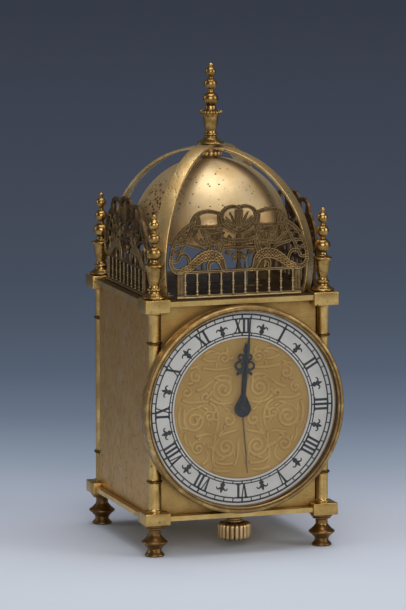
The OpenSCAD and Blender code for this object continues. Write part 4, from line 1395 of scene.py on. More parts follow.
@dataclass
class Uprights:
    """Feet, pillars and finials, turned on the lathe and set at the four corners."""

    bench: Bench
    steps: int = 56
    shaft: float = 2.3
    shaft_end: float = 2.75
    band_rise: float = 26
    band_wide: float = 0.62
    foot: Profile = Profile(
        ((0, 3.5), (0.25, 3.75), (0.6, 3.7), (1.1, 3.3), (2.2, 2.3), (2.7, 2.5), (4.3, 3.95),
         (4.9, 4.75), (5.7, 4.75), (6.4, 3.75), (7.6, 2.7), (8.2, 2.3), (10, 2.3), (10.6, 3.2),
         (11.4, 4.2), (12.1, 4.2)),
        ((5.3, 4.95, 0.9), (2.45, 2.75, 0.6), (10.55, 3.5, 0.5)),
    )
    finial: Profile = Profile(
        ((0, 4.2), (1, 4.2), (1.5, 3.3), (2.3, 2.3), (4.4, 2), (5.1, 1.75), (6.2, 2.15),
         (8.5, 2.62), (11.3, 2.95), (11.9, 3.3), (12.8, 3.3), (13.2, 2.1), (14, 1.6), (14.8, 1.4),
         (19.6, 1.15), (25.2, 0.95), (29.4, 0.65), (30, 0.7), (30.5, 0.95), (31, 0.85),
         (31.4, 0.35)),
        ((0.6, 4.4, 1.1), (3.55, 2.75, 1.1), (12.4, 3.65, 0.9), (17.1, 2.95, 5.3),
         (22.6, 2.35, 4.5), (27.5, 1.97, 4.1)),
    )
    top: Profile = Profile(
        ((0, 5.05), (0.35, 5.05), (0.8, 4.15), (1.5, 2.9), (2.3, 2.3), (4.1, 2.05), (4.6, 1.95),
         (5.5, 2.3), (7.8, 2.72), (10.1, 2.95), (10.8, 3.4), (12.2, 3.4), (12.5, 2.15),
         (14.1, 2.05), (14.4, 1.5), (19, 1.15), (24.4, 0.95), (28.4, 0.65), (28.9, 0.7),
         (29.4, 0.95), (29.9, 0.85), (30.2, 0.35)),
        ((3.3, 2.65, 1.1), (11.7, 4, 0.8), (16.7, 2.9, 4.9), (22.3, 2.45, 4.2),
         (26.8, 2.03, 3.8)),
    )
    rim_beads: int = 22
    rim_bead: float = 0.5
    rim_radius: float = 3.95
    rim_height: float = 11.7

    def set_round(self, family: str, profile: list[Point], finish: Finish) -> None:
        """Turns one part and sets a copy at each corner, where the CAD nodes stand.

        Args:
            family: first word of the nodes' names.
            profile: the outline, from the part's own foot.
            finish: its finish.
        """
        first = None
        for corner in CORNERS:
            node = f"{family}_{corner}"
            name = f"turned_{node}"
            at = middle(node)
            foot = Vector((at.x, at.y, low_of(node).z))
            if first is None:
                first, start = self.bench.turned(name, profile, foot, self.steps), foot
                piece = first
            else:
                piece = self.bench.twin(first, name, Matrix.Translation((foot - start) * MM))
            self.bench.fit(piece, finish, CASE, node)

    def pillar(self) -> list[Point]:
        """Outline of a pillar: plain shaft, two ring bands, a ring at each end.

        Returns:
            Radius and height of each point.
        """
        size = span("pillar_front_left")
        tall, shaft, end = size.z, self.shaft, self.shaft_end
        rise, wide = self.band_rise, self.band_wide
        stations = [(0, end), (0.75, end), (0.95, shaft + 0.15), (1.2, shaft)]
        stations += [(tall - z, r) for z, r in reversed(stations)]
        beads = []
        for side in (-1, 1):
            beads.append((tall / 2 + side * rise, size.x / 2, wide))
            for away in (rise + wide, rise - wide):
                beads.append((tall / 2 + side * away, shaft + 0.25, 0.4))
        return Profile(stations, beads, soften=0, step=0.08).points()

    def build(self) -> None:
        """Makes and sets all the uprights."""
        self.set_round("foot", self.foot.points(), Finish.FOOT)
        self.set_round("pillar", self.pillar(), Finish.PILLAR)
        scale = span("finial_front_left").z / self.finial.stations[-1][0]
        self.set_round("finial", self.finial.points(scale), Finish.FINIAL)
        foot = low_of("top_finial").z
        scale = span("top_finial").z / self.top.stations[-1][0]
        body = self.bench.turned("finial_body", self.top.points(scale), (0, 0, foot), 72)
        rim = self.bench.ball_ring(
            "finial_rim", self.rim_beads, self.rim_radius, foot + self.rim_height * scale,
            self.rim_bead, 10,
        )
        whole = self.bench.join("turned_top_finial", [body, *rim])
        self.bench.fit(whole, Finish.FINIAL, CASE, "top_finial")


# ---------------- case


@dataclass
class CaseFrame:
    """Corner blocks, base and top plates, and the four panels."""

    bench: Bench
    block_bevel: float = 0.28
    plate_bevel: float = 0.22
    panel_bevel: float = 0.15

    def blocks(self) -> None:
        """The eight corner blocks, cut square with softly worn edges."""
        low, high = low_of("corner_blocks"), high_of("corner_blocks")
        shaft = middle("pillar_front_left")
        side = 2 * (abs(low.x) - abs(shaft.x))
        rests = (
            (low.z, low_of("pillar_front_left").z),
            (high_of("pillar_front_left").z, high.z),
        )
        pieces = []
        for sx, sy in CORNERS.values():
            for z0, z1 in rests:
                bpy.ops.object.select_all(action="DESELECT")
                at = Vector((sx * abs(shaft.x), sy * abs(shaft.y), (z0 + z1) / 2)) * MM
                bpy.ops.mesh.primitive_cube_add(size=1, location=at)
                block = bpy.context.active_object
                block.scale = Vector((side, side, z1 - z0)) * MM
                self.bench.settle(block)
                self.bench.bevel(block, self.block_bevel, 3)
                pieces.append(block)
        whole = self.bench.smooth(self.bench.join("bevelled_corner_blocks", pieces))
        self.bench.fit(whole, Finish.POLISHED, CASE, "corner_blocks")

    def sheets(self) -> None:
        """Plates and panels with their edges rounded."""
        work = (
            ("base_plate", self.plate_bevel, Finish.PLATE),
            ("top_plate", self.plate_bevel, Finish.TOP_PLATE),
            ("front_panel", self.panel_bevel, Finish.FRONT_PANEL),
            ("back_panel", self.panel_bevel, Finish.FRONT_PANEL),
            ("left_panel", self.panel_bevel, Finish.SIDE_PANEL),
            ("right_panel", self.panel_bevel, Finish.SIDE_PANEL),
        )
        for node, bevel, finish in work:
            self.bench.renew(node, f"bevelled_{node}", bevel, finish)

    def build(self) -> None:
        """Makes the case."""
        self.blocks()
        self.sheets()


# ---------------- bell and cage


@dataclass
class BellCage:
    """The crossed straps, the beaded nut and the bell under them."""

    bench: Bench
    strap_wide: float = 5.6
    strap_thick: float = 1.0
    strap_foot: float = 5.4
    bell_wall: float = 1.0
    bell_hole: float = 1.5
    bell_rise: float = 0.9967
    lip_rise: float = 0.9
    rim_out: float = 0.3
    rim_bead: float = 0.8
    beads: int = 12
    bead_ring: float = 3.4
    bead: float = 0.95

    def strap(self, node: str, turn: float) -> None:
        """One strap: an arch with a foot turned in at each end.

        Args:
            node: the CAD node that it replaces.
            turn: the angle of its plane in degrees.
        """
        size = span(node)
        reach = size.x * math.sqrt(0.5) - self.strap_wide / 2
        tall = size.z
        radius = (reach * reach + tall * tall) / (2 * tall)
        rise = tall - radius
        start = -math.degrees(math.asin(rise / radius))
        inner = radius - self.strap_thick
        stop = -math.degrees(math.asin((rise - self.strap_thick) / inner))
        at, toe = (0, rise), reach - self.strap_foot
        outline = arc(at, radius, start, 180 - start, 96)
        outline += [(-toe, 0), (-toe, self.strap_thick)]
        outline += arc(at, inner, 180 - stop, stop, 96)
        outline += [(toe, self.strap_thick), (toe, 0)]
        face = Face((0, self.strap_wide / 2, low_of(node).z)).turned(turn)
        piece = self.bench.plate(
            f"bevelled_{node}", [outline], self.strap_wide, face, 0.18, 2, 40
        )
        self.bench.fit(piece, Finish.STRAP, CASE, node)

    def bell(self) -> None:
        """The bell, with its wall, its open mouth and its round rim."""
        radius = span("bell").x / 2 - self.rim_out
        mouth = high_of("bell").z - radius * self.bell_rise
        wall = self.bell_wall
        lip = math.degrees(math.asin(self.lip_rise / radius))
        top = math.degrees(math.acos(self.bell_hole / radius))
        outer = arc((0, 0), radius, lip, top, 60)
        inner = arc((0, 0), radius - wall, top - 0.1, lip, 48)
        rim = arc((radius - wall / 2, 0.7), self.rim_bead, 200, 350, 10)
        profile = outer + inner + rim + [outer[0]]
        piece = self.bench.turned("spun_bell", profile, (0, 0, mouth), 144, angle=50)
        self.bench.fit(piece, Finish.BELL, CASE, "bell")

    def nut(self) -> None:
        """The nut between bell and straps: a drum in a ring of round beads."""
        foot, tall = low_of("cage_nut").z, span("cage_nut").z
        outline = Profile(
            ((0, 2.4), (tall * 0.3, 2.6), (tall * 0.5, 3.2), (tall * 0.7, 2.6), (tall, 2.4))
        )
        pieces = [self.bench.turned("nut_core", outline.points(), (0, 0, foot), 48)]
        pieces += self.bench.ball_ring(
            "nut_bead", self.beads, self.bead_ring, foot + tall / 2, self.bead
        )
        whole = self.bench.join("beaded_cage_nut", pieces)
        self.bench.fit(whole, Finish.STRAP, CASE, "cage_nut")

    def build(self) -> None:
        """Makes the cage and the bell."""
        self.strap("strap_over", 45)
        self.strap("strap_under", -45)
        self.bell()
        self.nut()
        self.bench.paint_node("bell_stud", Finish.STEEL)


# ---------------- frets


@dataclass
class Frets:
    """Three pierced frets: the sawn plate, and the engraving that stands on its face."""

    bench: Bench
    line_wide: float = 0.28
    line_high: float = 0.15
    sides: tuple[tuple[str, float], ...] = (
        ("fret_front", 0), ("fret_left", -90), ("fret_right", 90),
    )
    balusters: int = 10
    rail: float = 1.6
    fence: float = 10.6
    scale_pitch: float = 1.5
    scale_radius: float = 0.56
    scale_wide: float = 0.24
    scale_high: float = 0.14
    post_wide: float = 0.62
    post_high: float = 0.3
    thick: float = 1.0
    leaf_half: float = 0.42

    @staticmethod
    def dolphin() -> list[Stroke]:
        """The dolphin's body, from the snout over the arched back to the tail, and its fins.

        Returns:
            Middle lines of the right half, with their widths.
        """
        return strokes(
            ([(4.4, 10.1), (7.4, 9.8), (5.4, 16.4), (11.3, 16.1)], 24, (1.1, 3, 4.7)),
            ([(11.2, 16.1), (16.4, 16), (18, 11.4), (22.2, 10.6)], 24, (4.7, 3.4, 2.4)),
            ([(22, 10.6), (25.6, 9.8), (27.4, 12.6), (26.4, 16)], 10, (2.4, 1.7, 1.3)),
            ([(10.2, 14), (12.4, 13.4), (12.2, 11.6), (11.6, 10.2)], 6, (1.8, 1.3, 1.1)),
            ([(19.2, 13.2), (19.6, 17.6), (22.8, 17.8), (23.6, 15.4)], 8, (1, 1.3, 1.1)),
            ([(23.6, 15.4), (24, 14.2), (25.2, 14), (26.4, 14.6)], 6, (1.1, 1, 1.1)),
        )

    @staticmethod
    def stems() -> list[Stroke]:
        """The twin stems, the long window under the crest and the crest's leaves.

        Returns:
            Middle lines of the right half, with their widths.
        """
        return strokes(
            ([(26.5, 15), (26.4, 19.2), (24, 25.6), (17.6, 28.2)], 10, (1.3, 1.5, 1.5)),
            ([(22.6, 17), (22.2, 20.4), (19.6, 22), (17.8, 27.6)], 8, (1.2, 1.2, 1.2)),
            ([(18.4, 27.6), (17.4, 33.4), (11.4, 33.4), (6.4, 31)], 12, (1.7, 1.5, 1.4)),
            ([(16.6, 31.2), (15.4, 29.6), (15.4, 28.2), (16, 26.8)], 6, (1.8, 1.5, 1.7)),
            ([(7.4, 31.4), (7.8, 29.8), (7.6, 28.4), (6.8, 26.8)], 6, (1.8, 1.5, 1.7)),
            ([(17.8, 27.2), (13.6, 26.6), (10.4, 26.4), (6.4, 27)], 8, (1.5, 1.3, 1.5)),
            ([(0, 33.2), (2.6, 35), (6.4, 33.4), (6.8, 30.6)], 9, (1.4, 1.4, 1.5)),
            ([(7, 31), (6.2, 27.4), (3.4, 25.4), (0.4, 24.4)], 9, (1.4, 1.6, 1.4)),
            ([(6, 29.2), (4, 28.6), (2, 27.4), (0.6, 25.6)], 6, (0.9, 1.1, 0.9)),
            ([(21, 21), (22.4, 20.4), (24, 20.8), (25.2, 20.2)], 5, (1, 0.9, 1)),
            ([(16.6, 22.8), (18.4, 23.4), (19.2, 24), (19, 25)], 5, (0.9, 1, 1)),
        )

    @staticmethod
    def scrolls() -> list[Stroke]:
        """The leaf scrolls between the crest and the dolphin's back.

        Returns:
            Middle lines of the right half, with their widths.
        """
        eye = (arc((9.7, 23), 2.4, 100, 380, 16), (1.7, 1.5, 1.2))
        return [eye] + strokes(
            ([(7.2, 25.9), (8.4, 24.9), (11.4, 25), (13.4, 26.2)], 6, (2, 2.6, 1.6)),
            ([(11.8, 23.8), (13.4, 23.4), (14.2, 24.6), (14.2, 26.6)], 6, (1.3, 1.5, 1.2)),
            ([(10.6, 20.8), (13.6, 19.2), (16.6, 20.2), (17.2, 24)], 7, (1.3, 1.4, 1)),
            ([(13.6, 18.2), (15.6, 19.8), (18.6, 19.6), (21, 21)], 7, (1.4, 1.2, 1)),
            ([(8.6, 20.8), (7.2, 20.2), (7.2, 18.6), (8.4, 17.4)], 6, (1.2, 1.1, 1.2)),
            ([(0, 21.4), (2.6, 20.8), (4.6, 22), (7.6, 22.4)], 7, (1.6, 1.2, 1.2)),
            ([(6.2, 22.2), (6.4, 20.6), (6.4, 18.8), (7.6, 16.6)], 6, (1.2, 1.2, 1.3)),
            ([(0, 18), (2.4, 18.8), (4.4, 18.6), (6.4, 18.2)], 6, (1.6, 1.2, 1.1)),
        )

    @staticmethod
    def leaves() -> list[Stroke]:
        """Small lobes of leaf: fronds between the twin stems, rosettes, centre buds and a fan.

        Returns:
            Middle lines of the right half, with their widths.
        """
        fronds = (
            (25.9, 17.4, 24.2, 18.6), (24.9, 20.8, 23.3, 22.4), (23.4, 23.6, 21.4, 24.1),
            (21.6, 25.8, 19.8, 24.6), (22.3, 18.6, 24.2, 16.9), (21.3, 20.9, 23.3, 20.4),
            (19.9, 22.9, 21.6, 22.9), (17.4, 24.5, 16.2, 25.9), (14.4, 20.7, 14.6, 22.6),
            (11.2, 19.6, 11.6, 17.6), (3.2, 21.6, 3.9, 23.4), (2.2, 21.3, 2.4, 19.6),
            (0.9, 16.6, 2.7, 15.3), (0.9, 15.6, 2.3, 13.6), (4.6, 21.8, 4.7, 20.1),
        )
        lobes = []
        for x0, y0, x1, y1 in fronds:
            run = [(x0, y0), ((x0 + x1) / 2, (y0 + y1) / 2), (x1, y1)]
            lobes.append((run, (0.8, 1.6, 0.5)))
        for degrees in range(100, 400, 30):
            lobes.append((ray((9.7, 23), degrees, (2.5, 3.4, 4.4)), (1.2, 1.8, 0.7)))
        # the fan that fills the heart of the crest
        for degrees, reach in ((82, 7.6), (64, 7.4), (46, 7.0), (28, 6.0)):
            rib = ray((0.3, 25.2), degrees, (0.6, reach * 0.62, reach))
            lobes.append((rib, (0.6, 0.95, 0.5)))
        return lobes

    def leaf_plate(self, node: str, face: Face) -> Piece:
        """The sawn lobes of leaf, as thick as the fret.

        Args:
            node: name of the fret.
            face: its back face.

        Returns:
            The lobes as one plate.
        """
        shapes = []
        for line, widths in self.leaves():
            lobe = ribbon(line, widths)
            shapes += [lobe, mirrored(lobe)]
        parts = []
        for i, shape in enumerate(shapes):
            # neighbours stand at slightly different heights, so that no two faces lie in one plane
            height = 0.05 + 0.01 * (i % 7) + self.leaf_half
            slab = self.bench.curve(
                f"lobe_{i}", [shape], closed=True, flat=True, extrude=self.leaf_half
            )
            self.bench.settle(slab, face.matrix @ Matrix.Translation((0, 0, height)))
            parts.append(self.bench.outward(slab, MERGE))
        return self.bench.join(f"{node}_leaves", parts)

    def outlines(self, limbs: Sequence[Stroke]) -> list[Line]:
        """Engraved lines along both edges of each limb.

        Args:
            limbs: the limbs of the right half, with their widths.

        Returns:
            Lines on both halves.
        """
        inset = 1 - self.line_wide / 1.2
        return both_halves(
            offset(line, widths, side) for line, widths in limbs for side in (-inset, inset)
        )

    def scales(self) -> list[Point]:
        """Places of the scales on the dolphins' backs.

        Returns:
            Points in rows along the two bodies.
        """
        spots = []
        for side, first in ((-0.58, 5.2), (0, 5.9), (0.58, 5.2)):
            row = []
            for line, widths in self.dolphin()[:2]:
                row += offset(line, widths, side)
            done = 0.0
            for a, b in zip(row, row[1:], strict=False):
                done += math.dist(a, b)
                if done > first:
                    spots.append(b)
                    first += self.scale_pitch
        return spots + mirrored(spots)

    def ribs(self) -> list[Line]:
        """Short cross cuts on the tails, the leaves and the end posts.

        Returns:
            Lines on both halves.
        """
        line, widths = self.dolphin()[2]
        cuts = []
        for i in range(1, len(line) - 1):
            cuts.append([offset(line, widths, side)[i] for side in (-0.55, 0.55)])
        stems = self.stems()
        for line, widths in (stems[0], stems[2], stems[7]):
            for i in range(1, len(line) - 1, 2):
                cuts.append([offset(line, widths, side)[i] for side in (-0.5, 0.5)])
        cuts = both_halves(cuts)
        half = self.width / 2
        for x in (0.55, 1.1, 1.7, 2.3):
            for s in (-1, 1):
                cuts.append([(s * (half - x), 2.1), (s * (half - x), self.fence - 1.4)])
        return cuts

    def borders(self) -> list[Line]:
        """The long lines along the two rails."""
        half = self.width / 2 - 0.2
        return [[(-half, z), (half, z)] for z in (0.25, 1.35, self.fence - 0.8, self.fence - 0.2)]

    def baluster_lines(self) -> list[Line]:
        """Turned balusters with bead rings, and their rail.

        Returns:
            Upright lines; a third number is a thickness.
        """
        post = 2.9
        pitch = (self.width - 2 * post) / (self.balusters - 1) * 0.985
        tall = self.fence - 1 - self.rail
        steps = ((0, 1.9), (0.05, 1.9), (0.07, 0.75), (0.13, 0.8), (0.14, 1.9), (0.19, 1.9),
                 (0.2, 0.75), (0.34, 0.95), (0.44, 0.75), (0.45, 2.1), (0.5, 2.1), (0.51, 0.75),
                 (0.56, 0.75), (0.57, 1.9), (0.61, 1.9), (0.62, 0.7), (0.8, 0.75), (0.9, 0.95),
                 (1, 1.6))
        half = self.width / 2
        lines = [[(-half, 0.55, 1.5), (half, 0.55, 1.5)]]
        for i in range(self.balusters):
            x = (i - (self.balusters - 1) / 2) * pitch
            lines.append([(x, self.rail + t * tall, r) for t, r in steps])
        return lines

    @property
    def width(self) -> float:
        """Width of the front fret at its foot.

        Returns:
            The width in millimetres.
        """
        foot = low_of("fret_front").z + 1
        points = [v.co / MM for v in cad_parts["fret_front"].data.vertices]
        return 2 * max(p.x for p in points if p.z < foot)

    def engraving(self, node: str, face: Face) -> Piece:
        """All raised work of one fret as one piece.

        Args:
            node: name of the fret.
            face: its front face, with the zero in the middle of its foot.

        Returns:
            The engraving.
        """
        wide, high = self.line_wide, self.line_high
        foliage = self.stems() + self.scrolls() + self.leaves()
        parts = [
            self.bench.relief(name, lines, breadth, height, face)
            for name, lines, breadth, height in (
                ("dolphin_lines", self.outlines(self.dolphin()), wide, high),
                ("leaf_lines", self.outlines(foliage), wide * 0.66, high * 0.8),
                ("fret_ribs", self.ribs(), wide * 0.8, high * 0.8),
                ("fret_borders", self.borders(), wide, high),
            )
        ]
        rings = [arc(spot, self.scale_radius, 0, 324, 9) for spot in self.scales()]
        parts.append(
            self.bench.relief(
                "fret_scales", rings, self.scale_wide, self.scale_high, face, 0, closed=True
            )
        )
        return self.bench.join(f"{node}_engraving", parts)

    def build(self) -> None:
        """Makes the three frets."""
        front = low_of("fret_front")
        for node, turn in self.sides:
            self.bench.renew(node, f"sawn_{node}", 0.10, Finish.ANTIQUE, segments=1)
            face = Face((0, front.y, front.z)).turned(turn)
            back = Face((0, front.y + self.thick, front.z)).turned(turn)
            self.bench.fit(self.leaf_plate(node, back), Finish.ANTIQUE)
            self.bench.fit(self.engraving(node, face), Finish.ENGRAVED)
            posts = self.bench.relief(
                f"{node}_balusters", self.baluster_lines(), self.post_wide, self.post_high,
                face, 2,
            )
            self.bench.fit(posts, Finish.BALUSTER)


# ---------------- dial


class Numeral(Enum):
    """The three strokes that Roman numerals are made of: outlines, and the width to the next."""

    I = 1.72
    V = 2.95
    X = 3.1

    def outlines(self, tall: float) -> list[list[Point]]:
        """Outlines of the stroke, its left edge at x = 0 and its foot at y = 0.

        Args:
            tall: height of the numeral.

        Returns:
            Closed outlines; where they overlap they are separate pieces.
        """
        thick, thin, serif, out = 0.94, 0.48, 0.36, 0.5
        middle_x, head = self.value / 2, tall - 0.1
        if self is Numeral.I:
            left, right = middle_x - thick / 2, middle_x + thick / 2
            return [
                [(left, 0.05), (right, 0.05), (right, head), (left, head)],
                *self.serifs([(left - out, right + out, z) for z in (0, tall)], serif),
            ]
        if self is Numeral.V:
            foot = middle_x - 0.08
            return [
                [(0.3, head), (0.3 + thick, head), (foot + 0.4, 0), (foot - 0.15, 0)],
                [(2.62, head), (2.62 - thin, head), (foot, 0), (foot + thin, 0)],
                *self.serifs(((-0.05, 1.55, tall), (1.95, 2.95, tall)), serif),
            ]
        return [
            [(0.25, head), (0.25 + thick, head), (2.85, 0.1), (2.85 - thick, 0.1)],
            [(2.7, head), (2.7 - thin, head), (0.4, 0.1), (0.4 + thin, 0.1)],
            *self.serifs(
                ((-0.05, 1.5, tall), (2.1, 3.1, tall), (0, 1.1, 0), (1.6, 3.15, 0)), serif
            ),
        ]

    @staticmethod
    def serifs(runs: Sequence[Triple], thick: float) -> list[list[Point]]:
        """Bars that end a stroke.

        Args:
            runs: left end, right end and height of each outer edge.
            thick: their thickness.

        Returns:
            Closed outlines.
        """
        bars = []
        for x0, x1, z in runs:
            top, foot = (z, z - thick) if z > 0 else (thick, 0)
            bars.append([(x0, foot), (x1, foot), (x1, top), (x0, top)])
        return bars


@dataclass
class Dial:
    """Bezel, glass, embossed middle and printed chapter ring."""

    bench: Bench
    words: tuple[str, ...] = (
        "XII", "I", "II", "III", "IIII", "V", "VI", "VII", "VIII", "IX", "X", "XI",
    )
    lip: float = 36.8
    ring_hole: float = 26.6
    scroll_wide: float = 1.3
    scroll_high: float = 0.36
    foot_radius: float = 28.5
    numeral_height: float = 5.25
    ink: float = 0.03
    circles: tuple[Point, ...] = ((35.45, 0.64), (33.85, 0.54), (28.45, 0.46), (27.45, 0.5))
    ticks: tuple[tuple[int, float, float, float], ...] = (
        (60, 33.8, 35.55, 0.44), (48, 27.35, 28.5, 0.36),
    )

    @property
    def centre(self) -> Vector:
        """Centre of the dial in millimetres."""
        return middle("bezel")

    def face(self, depth: float) -> Face:
        """A face about the dial's centre at a depth (negative y) in millimetres."""
        return Face((0, depth, self.centre.z))

    def bezel(self) -> None:
        """The bezel: outer step, rounded brow, sloping lip and its seat for the glass."""
        back, front = -high_of("bezel").y, -low_of("bezel").y
        outer, lip = span("bezel").x / 2 - 0.01, self.lip
        seat = high_of("dial_glass").x
        glass = -low_of("dial_glass").y
        brow = arc((outer - 1.1, front - 1.1), 1.1, 0, 90, 9)
        profile = [
            (seat + 0.1, back), (outer - 0.1, back), (outer, back + 0.15), (outer, back + 0.7),
            (outer - 0.3, back + 0.85), (outer - 0.3, back + 1.05), (outer, back + 1.2), *brow,
            (lip + 1.0, front - 0.04), (lip + 0.86, front - 0.5), (lip + 0.6, front - 0.55),
            (lip + 0.46, front - 0.28), (lip + 0.22, front - 0.24), (lip, front - 0.5),
            (lip, glass + 0.02), (seat + 0.1, glass + 0.02), (seat + 0.1, back),
        ]
        at = (0, 0, self.centre.z)
        piece = self.bench.turned("turned_bezel", profile, at, 192, forward=True, angle=40)
        self.bench.fit(piece, Finish.BEZEL, CASE, "bezel")
        self.bench.renew("dial_glass", "flat_glass", 0.12, Finish.GLASS)

    def ground(self) -> None:
        """The dial plate with its embossed scrolls."""
        self.bench.renew("dial_plate", "dial_ground", 0.05, Finish.GILT, segments=1)
        lines = both_halves([*self.scroll_lines(), *self.acanthus()])
        piece = self.bench.relief(
            "dial_scrolls", [self.tapered(line) for line in lines], self.scroll_wide,
            self.scroll_high, self.face(high_of("chapter_ring").y), 3,
        )
        self.bench.fit(piece, Finish.SCROLL)

    @staticmethod
    def tapered(line: Line) -> list[Triple]:
        """Gives a scroll a thin outer end and a fuller eye.

        Args:
            line: its points from outside in.

        Returns:
            The points with a thickness each.
        """
        last = len(line) - 1
        return [
            (p[0], p[1], 0.4 + 0.6 * min(1, 4 * i / last) * (1 if i < last else 1.3))
            for i, p in enumerate(line)
        ]

    @staticmethod
    def volutes() -> list[tuple[Point, float, float, float]]:
        """The scrolls of the right half.

        Returns:
            Eye, outer radius, angle of the outer end, and turns of each.
        """
        return [
            ((18.2, -4.0), 5.4, 205, -2.3), ((12.6, -2.6), 2.5, 330, 1.5),
            ((7.0, 7.4), 4.6, 250, 2.1), ((6.6, 19.0), 2.7, 300, 1.6),
            ((17.6, 12.6), 2.8, 120, -1.3), ((21.4, 7.0), 2.3, 80, 1.3),
            ((6.1, -14.6), 4.6, 95, -2.1), ((17.0, -14.4), 3.2, 200, -1.7),
            ((4.9, -4.4), 3.0, 60, 1.3), ((13.9, 5.0), 2.0, 220, 1.3),
        ]

    def scroll_lines(self) -> list[list[Point]]:
        """The scrolls of the right half and the stems that join them.

        Returns:
            Lines about the dial's centre.
        """
        curves = (
            # the long stem from the foot, round the pair beside the hub
            ([(9.6, -22.6), (13.2, -18.6), (9.6, -13.6), (10.6, -9.6)], 10),
            ([(10.6, -9.6), (7.8, -5.4), (8.6, 1.8), (12.6, 2.6)], 10),
            ([(11.2, -10.2), (13, -8.2), (15, -9.8), (18, -9.9)], 8),
            ([(22.9, -8.2), (24.6, -5.6), (24.8, -1.4), (23.6, 1.8)], 8),
            ([(12.6, 2.8), (16, 4.2), (20, 1.4), (23.2, 4.4)], 8),
            # stems of the low pair and the leaves under it
            ([(10.9, -18.2), (10.2, -20.6), (7.4, -21.4), (3.2, -20.8)], 8),
            ([(1.3, -11.4), (0.9, -15), (1.1, -18.6), (2.6, -21.8)], 8),
            ([(3.4, -23.2), (6, -24), (8.6, -23.8), (11.2, -22.6)], 8),
            ([(13.8, -15.4), (12.6, -17.4), (13, -20), (15.4, -20.4)], 8),
            ([(20.4, -13.8), (21.9, -12), (22.4, -10.2), (21.8, -8.4)], 6),
            ([(1.1, -7.6), (3.2, -9.2), (6.4, -8.8), (8.4, -10.2)], 8),
            # sweep under the scroll beside the hour hand
            ([(3.0, 2.6), (6, 1.4), (10.2, 1.6), (12.4, 4.6)], 8),
            ([(2.6, 10.2), (3.4, 12.8), (7.4, 13.4), (10.6, 11.6)], 8),
            ([(10.8, 11.2), (13.6, 9.4), (14.2, 7.6), (17.6, 7.4)], 8),
            # leaves above, from the top scroll to the rim
            ([(3.2, 15.6), (7, 14.4), (12, 15), (15.2, 15.8)], 8),
            ([(9.2, 18.2), (11.4, 18.2), (13.4, 18), (15.2, 19.6)], 8),
            ([(9.6, 21.6), (11, 22.6), (12.8, 22.2), (14.4, 20.8)], 6),
            ([(16.2, 15.4), (17.4, 16.6), (18.6, 16.6), (19.8, 15.6)], 6),
        )
        scrolls = [spiral(*volute) for volute in self.volutes()]
        return scrolls + [bezier(*curve) for curve in curves]

    def acanthus(self) -> list[list[Point]]:
        """Short curled leaves along the outer side of the scrolls.

        Returns:
            Lines from tip to root.
        """
        leaves = []
        for (x, z), radius, start, turns in self.volutes():
            spin = math.copysign(1, turns)
            for i in range(1, 8, 2):
                a = math.radians(start + spin * 36 * i)
                reach = radius * (1 - 0.06 * i) + 0.5
                sweep = a - spin * 0.45
                root = (x + reach * math.cos(a), z + reach * math.sin(a))
                tip = (x + (reach + 1.9) * math.cos(sweep), z + (reach + 1.9) * math.sin(sweep))
                bend = ((root[0] + tip[0]) / 2 + 0.3 * math.cos(a),
                        (root[1] + tip[1]) / 2 + 0.3 * math.sin(a))
                clear = tip[0] > 1.2 and math.hypot(*tip) < 25.4 and math.hypot(*tip) > 4
                if clear and radius > 2.4:
                    leaves.append([tip, bend, root])
        return leaves

    def ring(self) -> None:
        """The silvered ring with a raised edge inside and out."""
        outer, inner = span("chapter_ring").x / 2, self.ring_hole
        back, front = -high_of("chapter_ring").y, -low_of("chapter_ring").y
        profile = [
            (inner, back), (outer, back), (outer, front - 0.06), (outer - 0.06, front),
            (outer - 0.5, front), (outer - 0.55, front - 0.04), (inner + 0.62, front - 0.04),
            (inner + 0.55, front), (inner + 0.1, front), (inner, front - 0.1), (inner, back),
        ]
        at = (0, 0, self.centre.z)
        piece = self.bench.turned("silvered_ring", profile, at, 192, forward=True, angle=30)
        self.bench.fit(piece, Finish.SILVERED, CASE, "chapter_ring")

    def on_ring(self, outline: Line, angle: float, radius: float) -> list[Point]:
        """Sets an outline upright on the ring.

        Args:
            outline: its points, with y = 0 at its foot.
            angle: clock angle in degrees.
            radius: where its foot stands.

        Returns:
            The outline about the dial's centre.
        """
        a = math.radians(angle)
        return [
            (
                p[0] * math.cos(a) + (radius + p[1]) * math.sin(a),
                -p[0] * math.sin(a) + (radius + p[1]) * math.cos(a),
            )
            for p in outline
        ]

    def print_face(self) -> Face:
        """The face that the ink lies on."""
        return self.face(low_of("chapter_ring").y + 0.045)

    def numerals(self) -> None:
        """Roman numerals, upright to the centre."""
        shapes = []
        for hour, word in enumerate(self.words):
            wide = sum(Numeral[c].value for c in word)
            squeeze = min(1.0, 8.0 / wide)
            x = -wide / 2
            for c in word:
                for outline in Numeral[c].outlines(self.numeral_height):
                    moved = [((p[0] + x) * squeeze, p[1]) for p in outline]
                    shapes.append(self.on_ring(moved, 30 * hour, self.foot_radius))
                x += Numeral[c].value
        self.printed("printed_numerals", shapes)

    def marks(self) -> None:
        """The half-hour marks: a pointed stem with a cross bar and two curled arms."""
        stem = [(-0.55, 0), (-0.45, 0.35), (-0.9, 0.7), (-0.95, 1.25), (-0.6, 1.75), (-0.5, 2.3),
                (-0.62, 2.9), (-0.42, 3.6), (0, 4.35)]
        stem += [(-x, y) for x, y in reversed(stem[:-1])]
        arm = bezier([(0.2, 2.1), (0.8, 2.2), (0.9, 3.0), (1.5, 2.9)], 7)
        arm += bezier([(1.5, 2.9), (2.0, 2.85), (2.15, 2.5), (2.2, 2.1)], 5)[1:]
        arm_shape = ribbon(arm, (0.75, 0.62, 0.4))
        shapes = []
        for i in range(12):
            angle = 30 * i + 15
            for outline in (stem, arm_shape, mirrored(arm_shape)):
                shapes.append(self.on_ring(outline, angle, self.foot_radius - 0.1))
        self.printed("printed_half_hours", shapes)

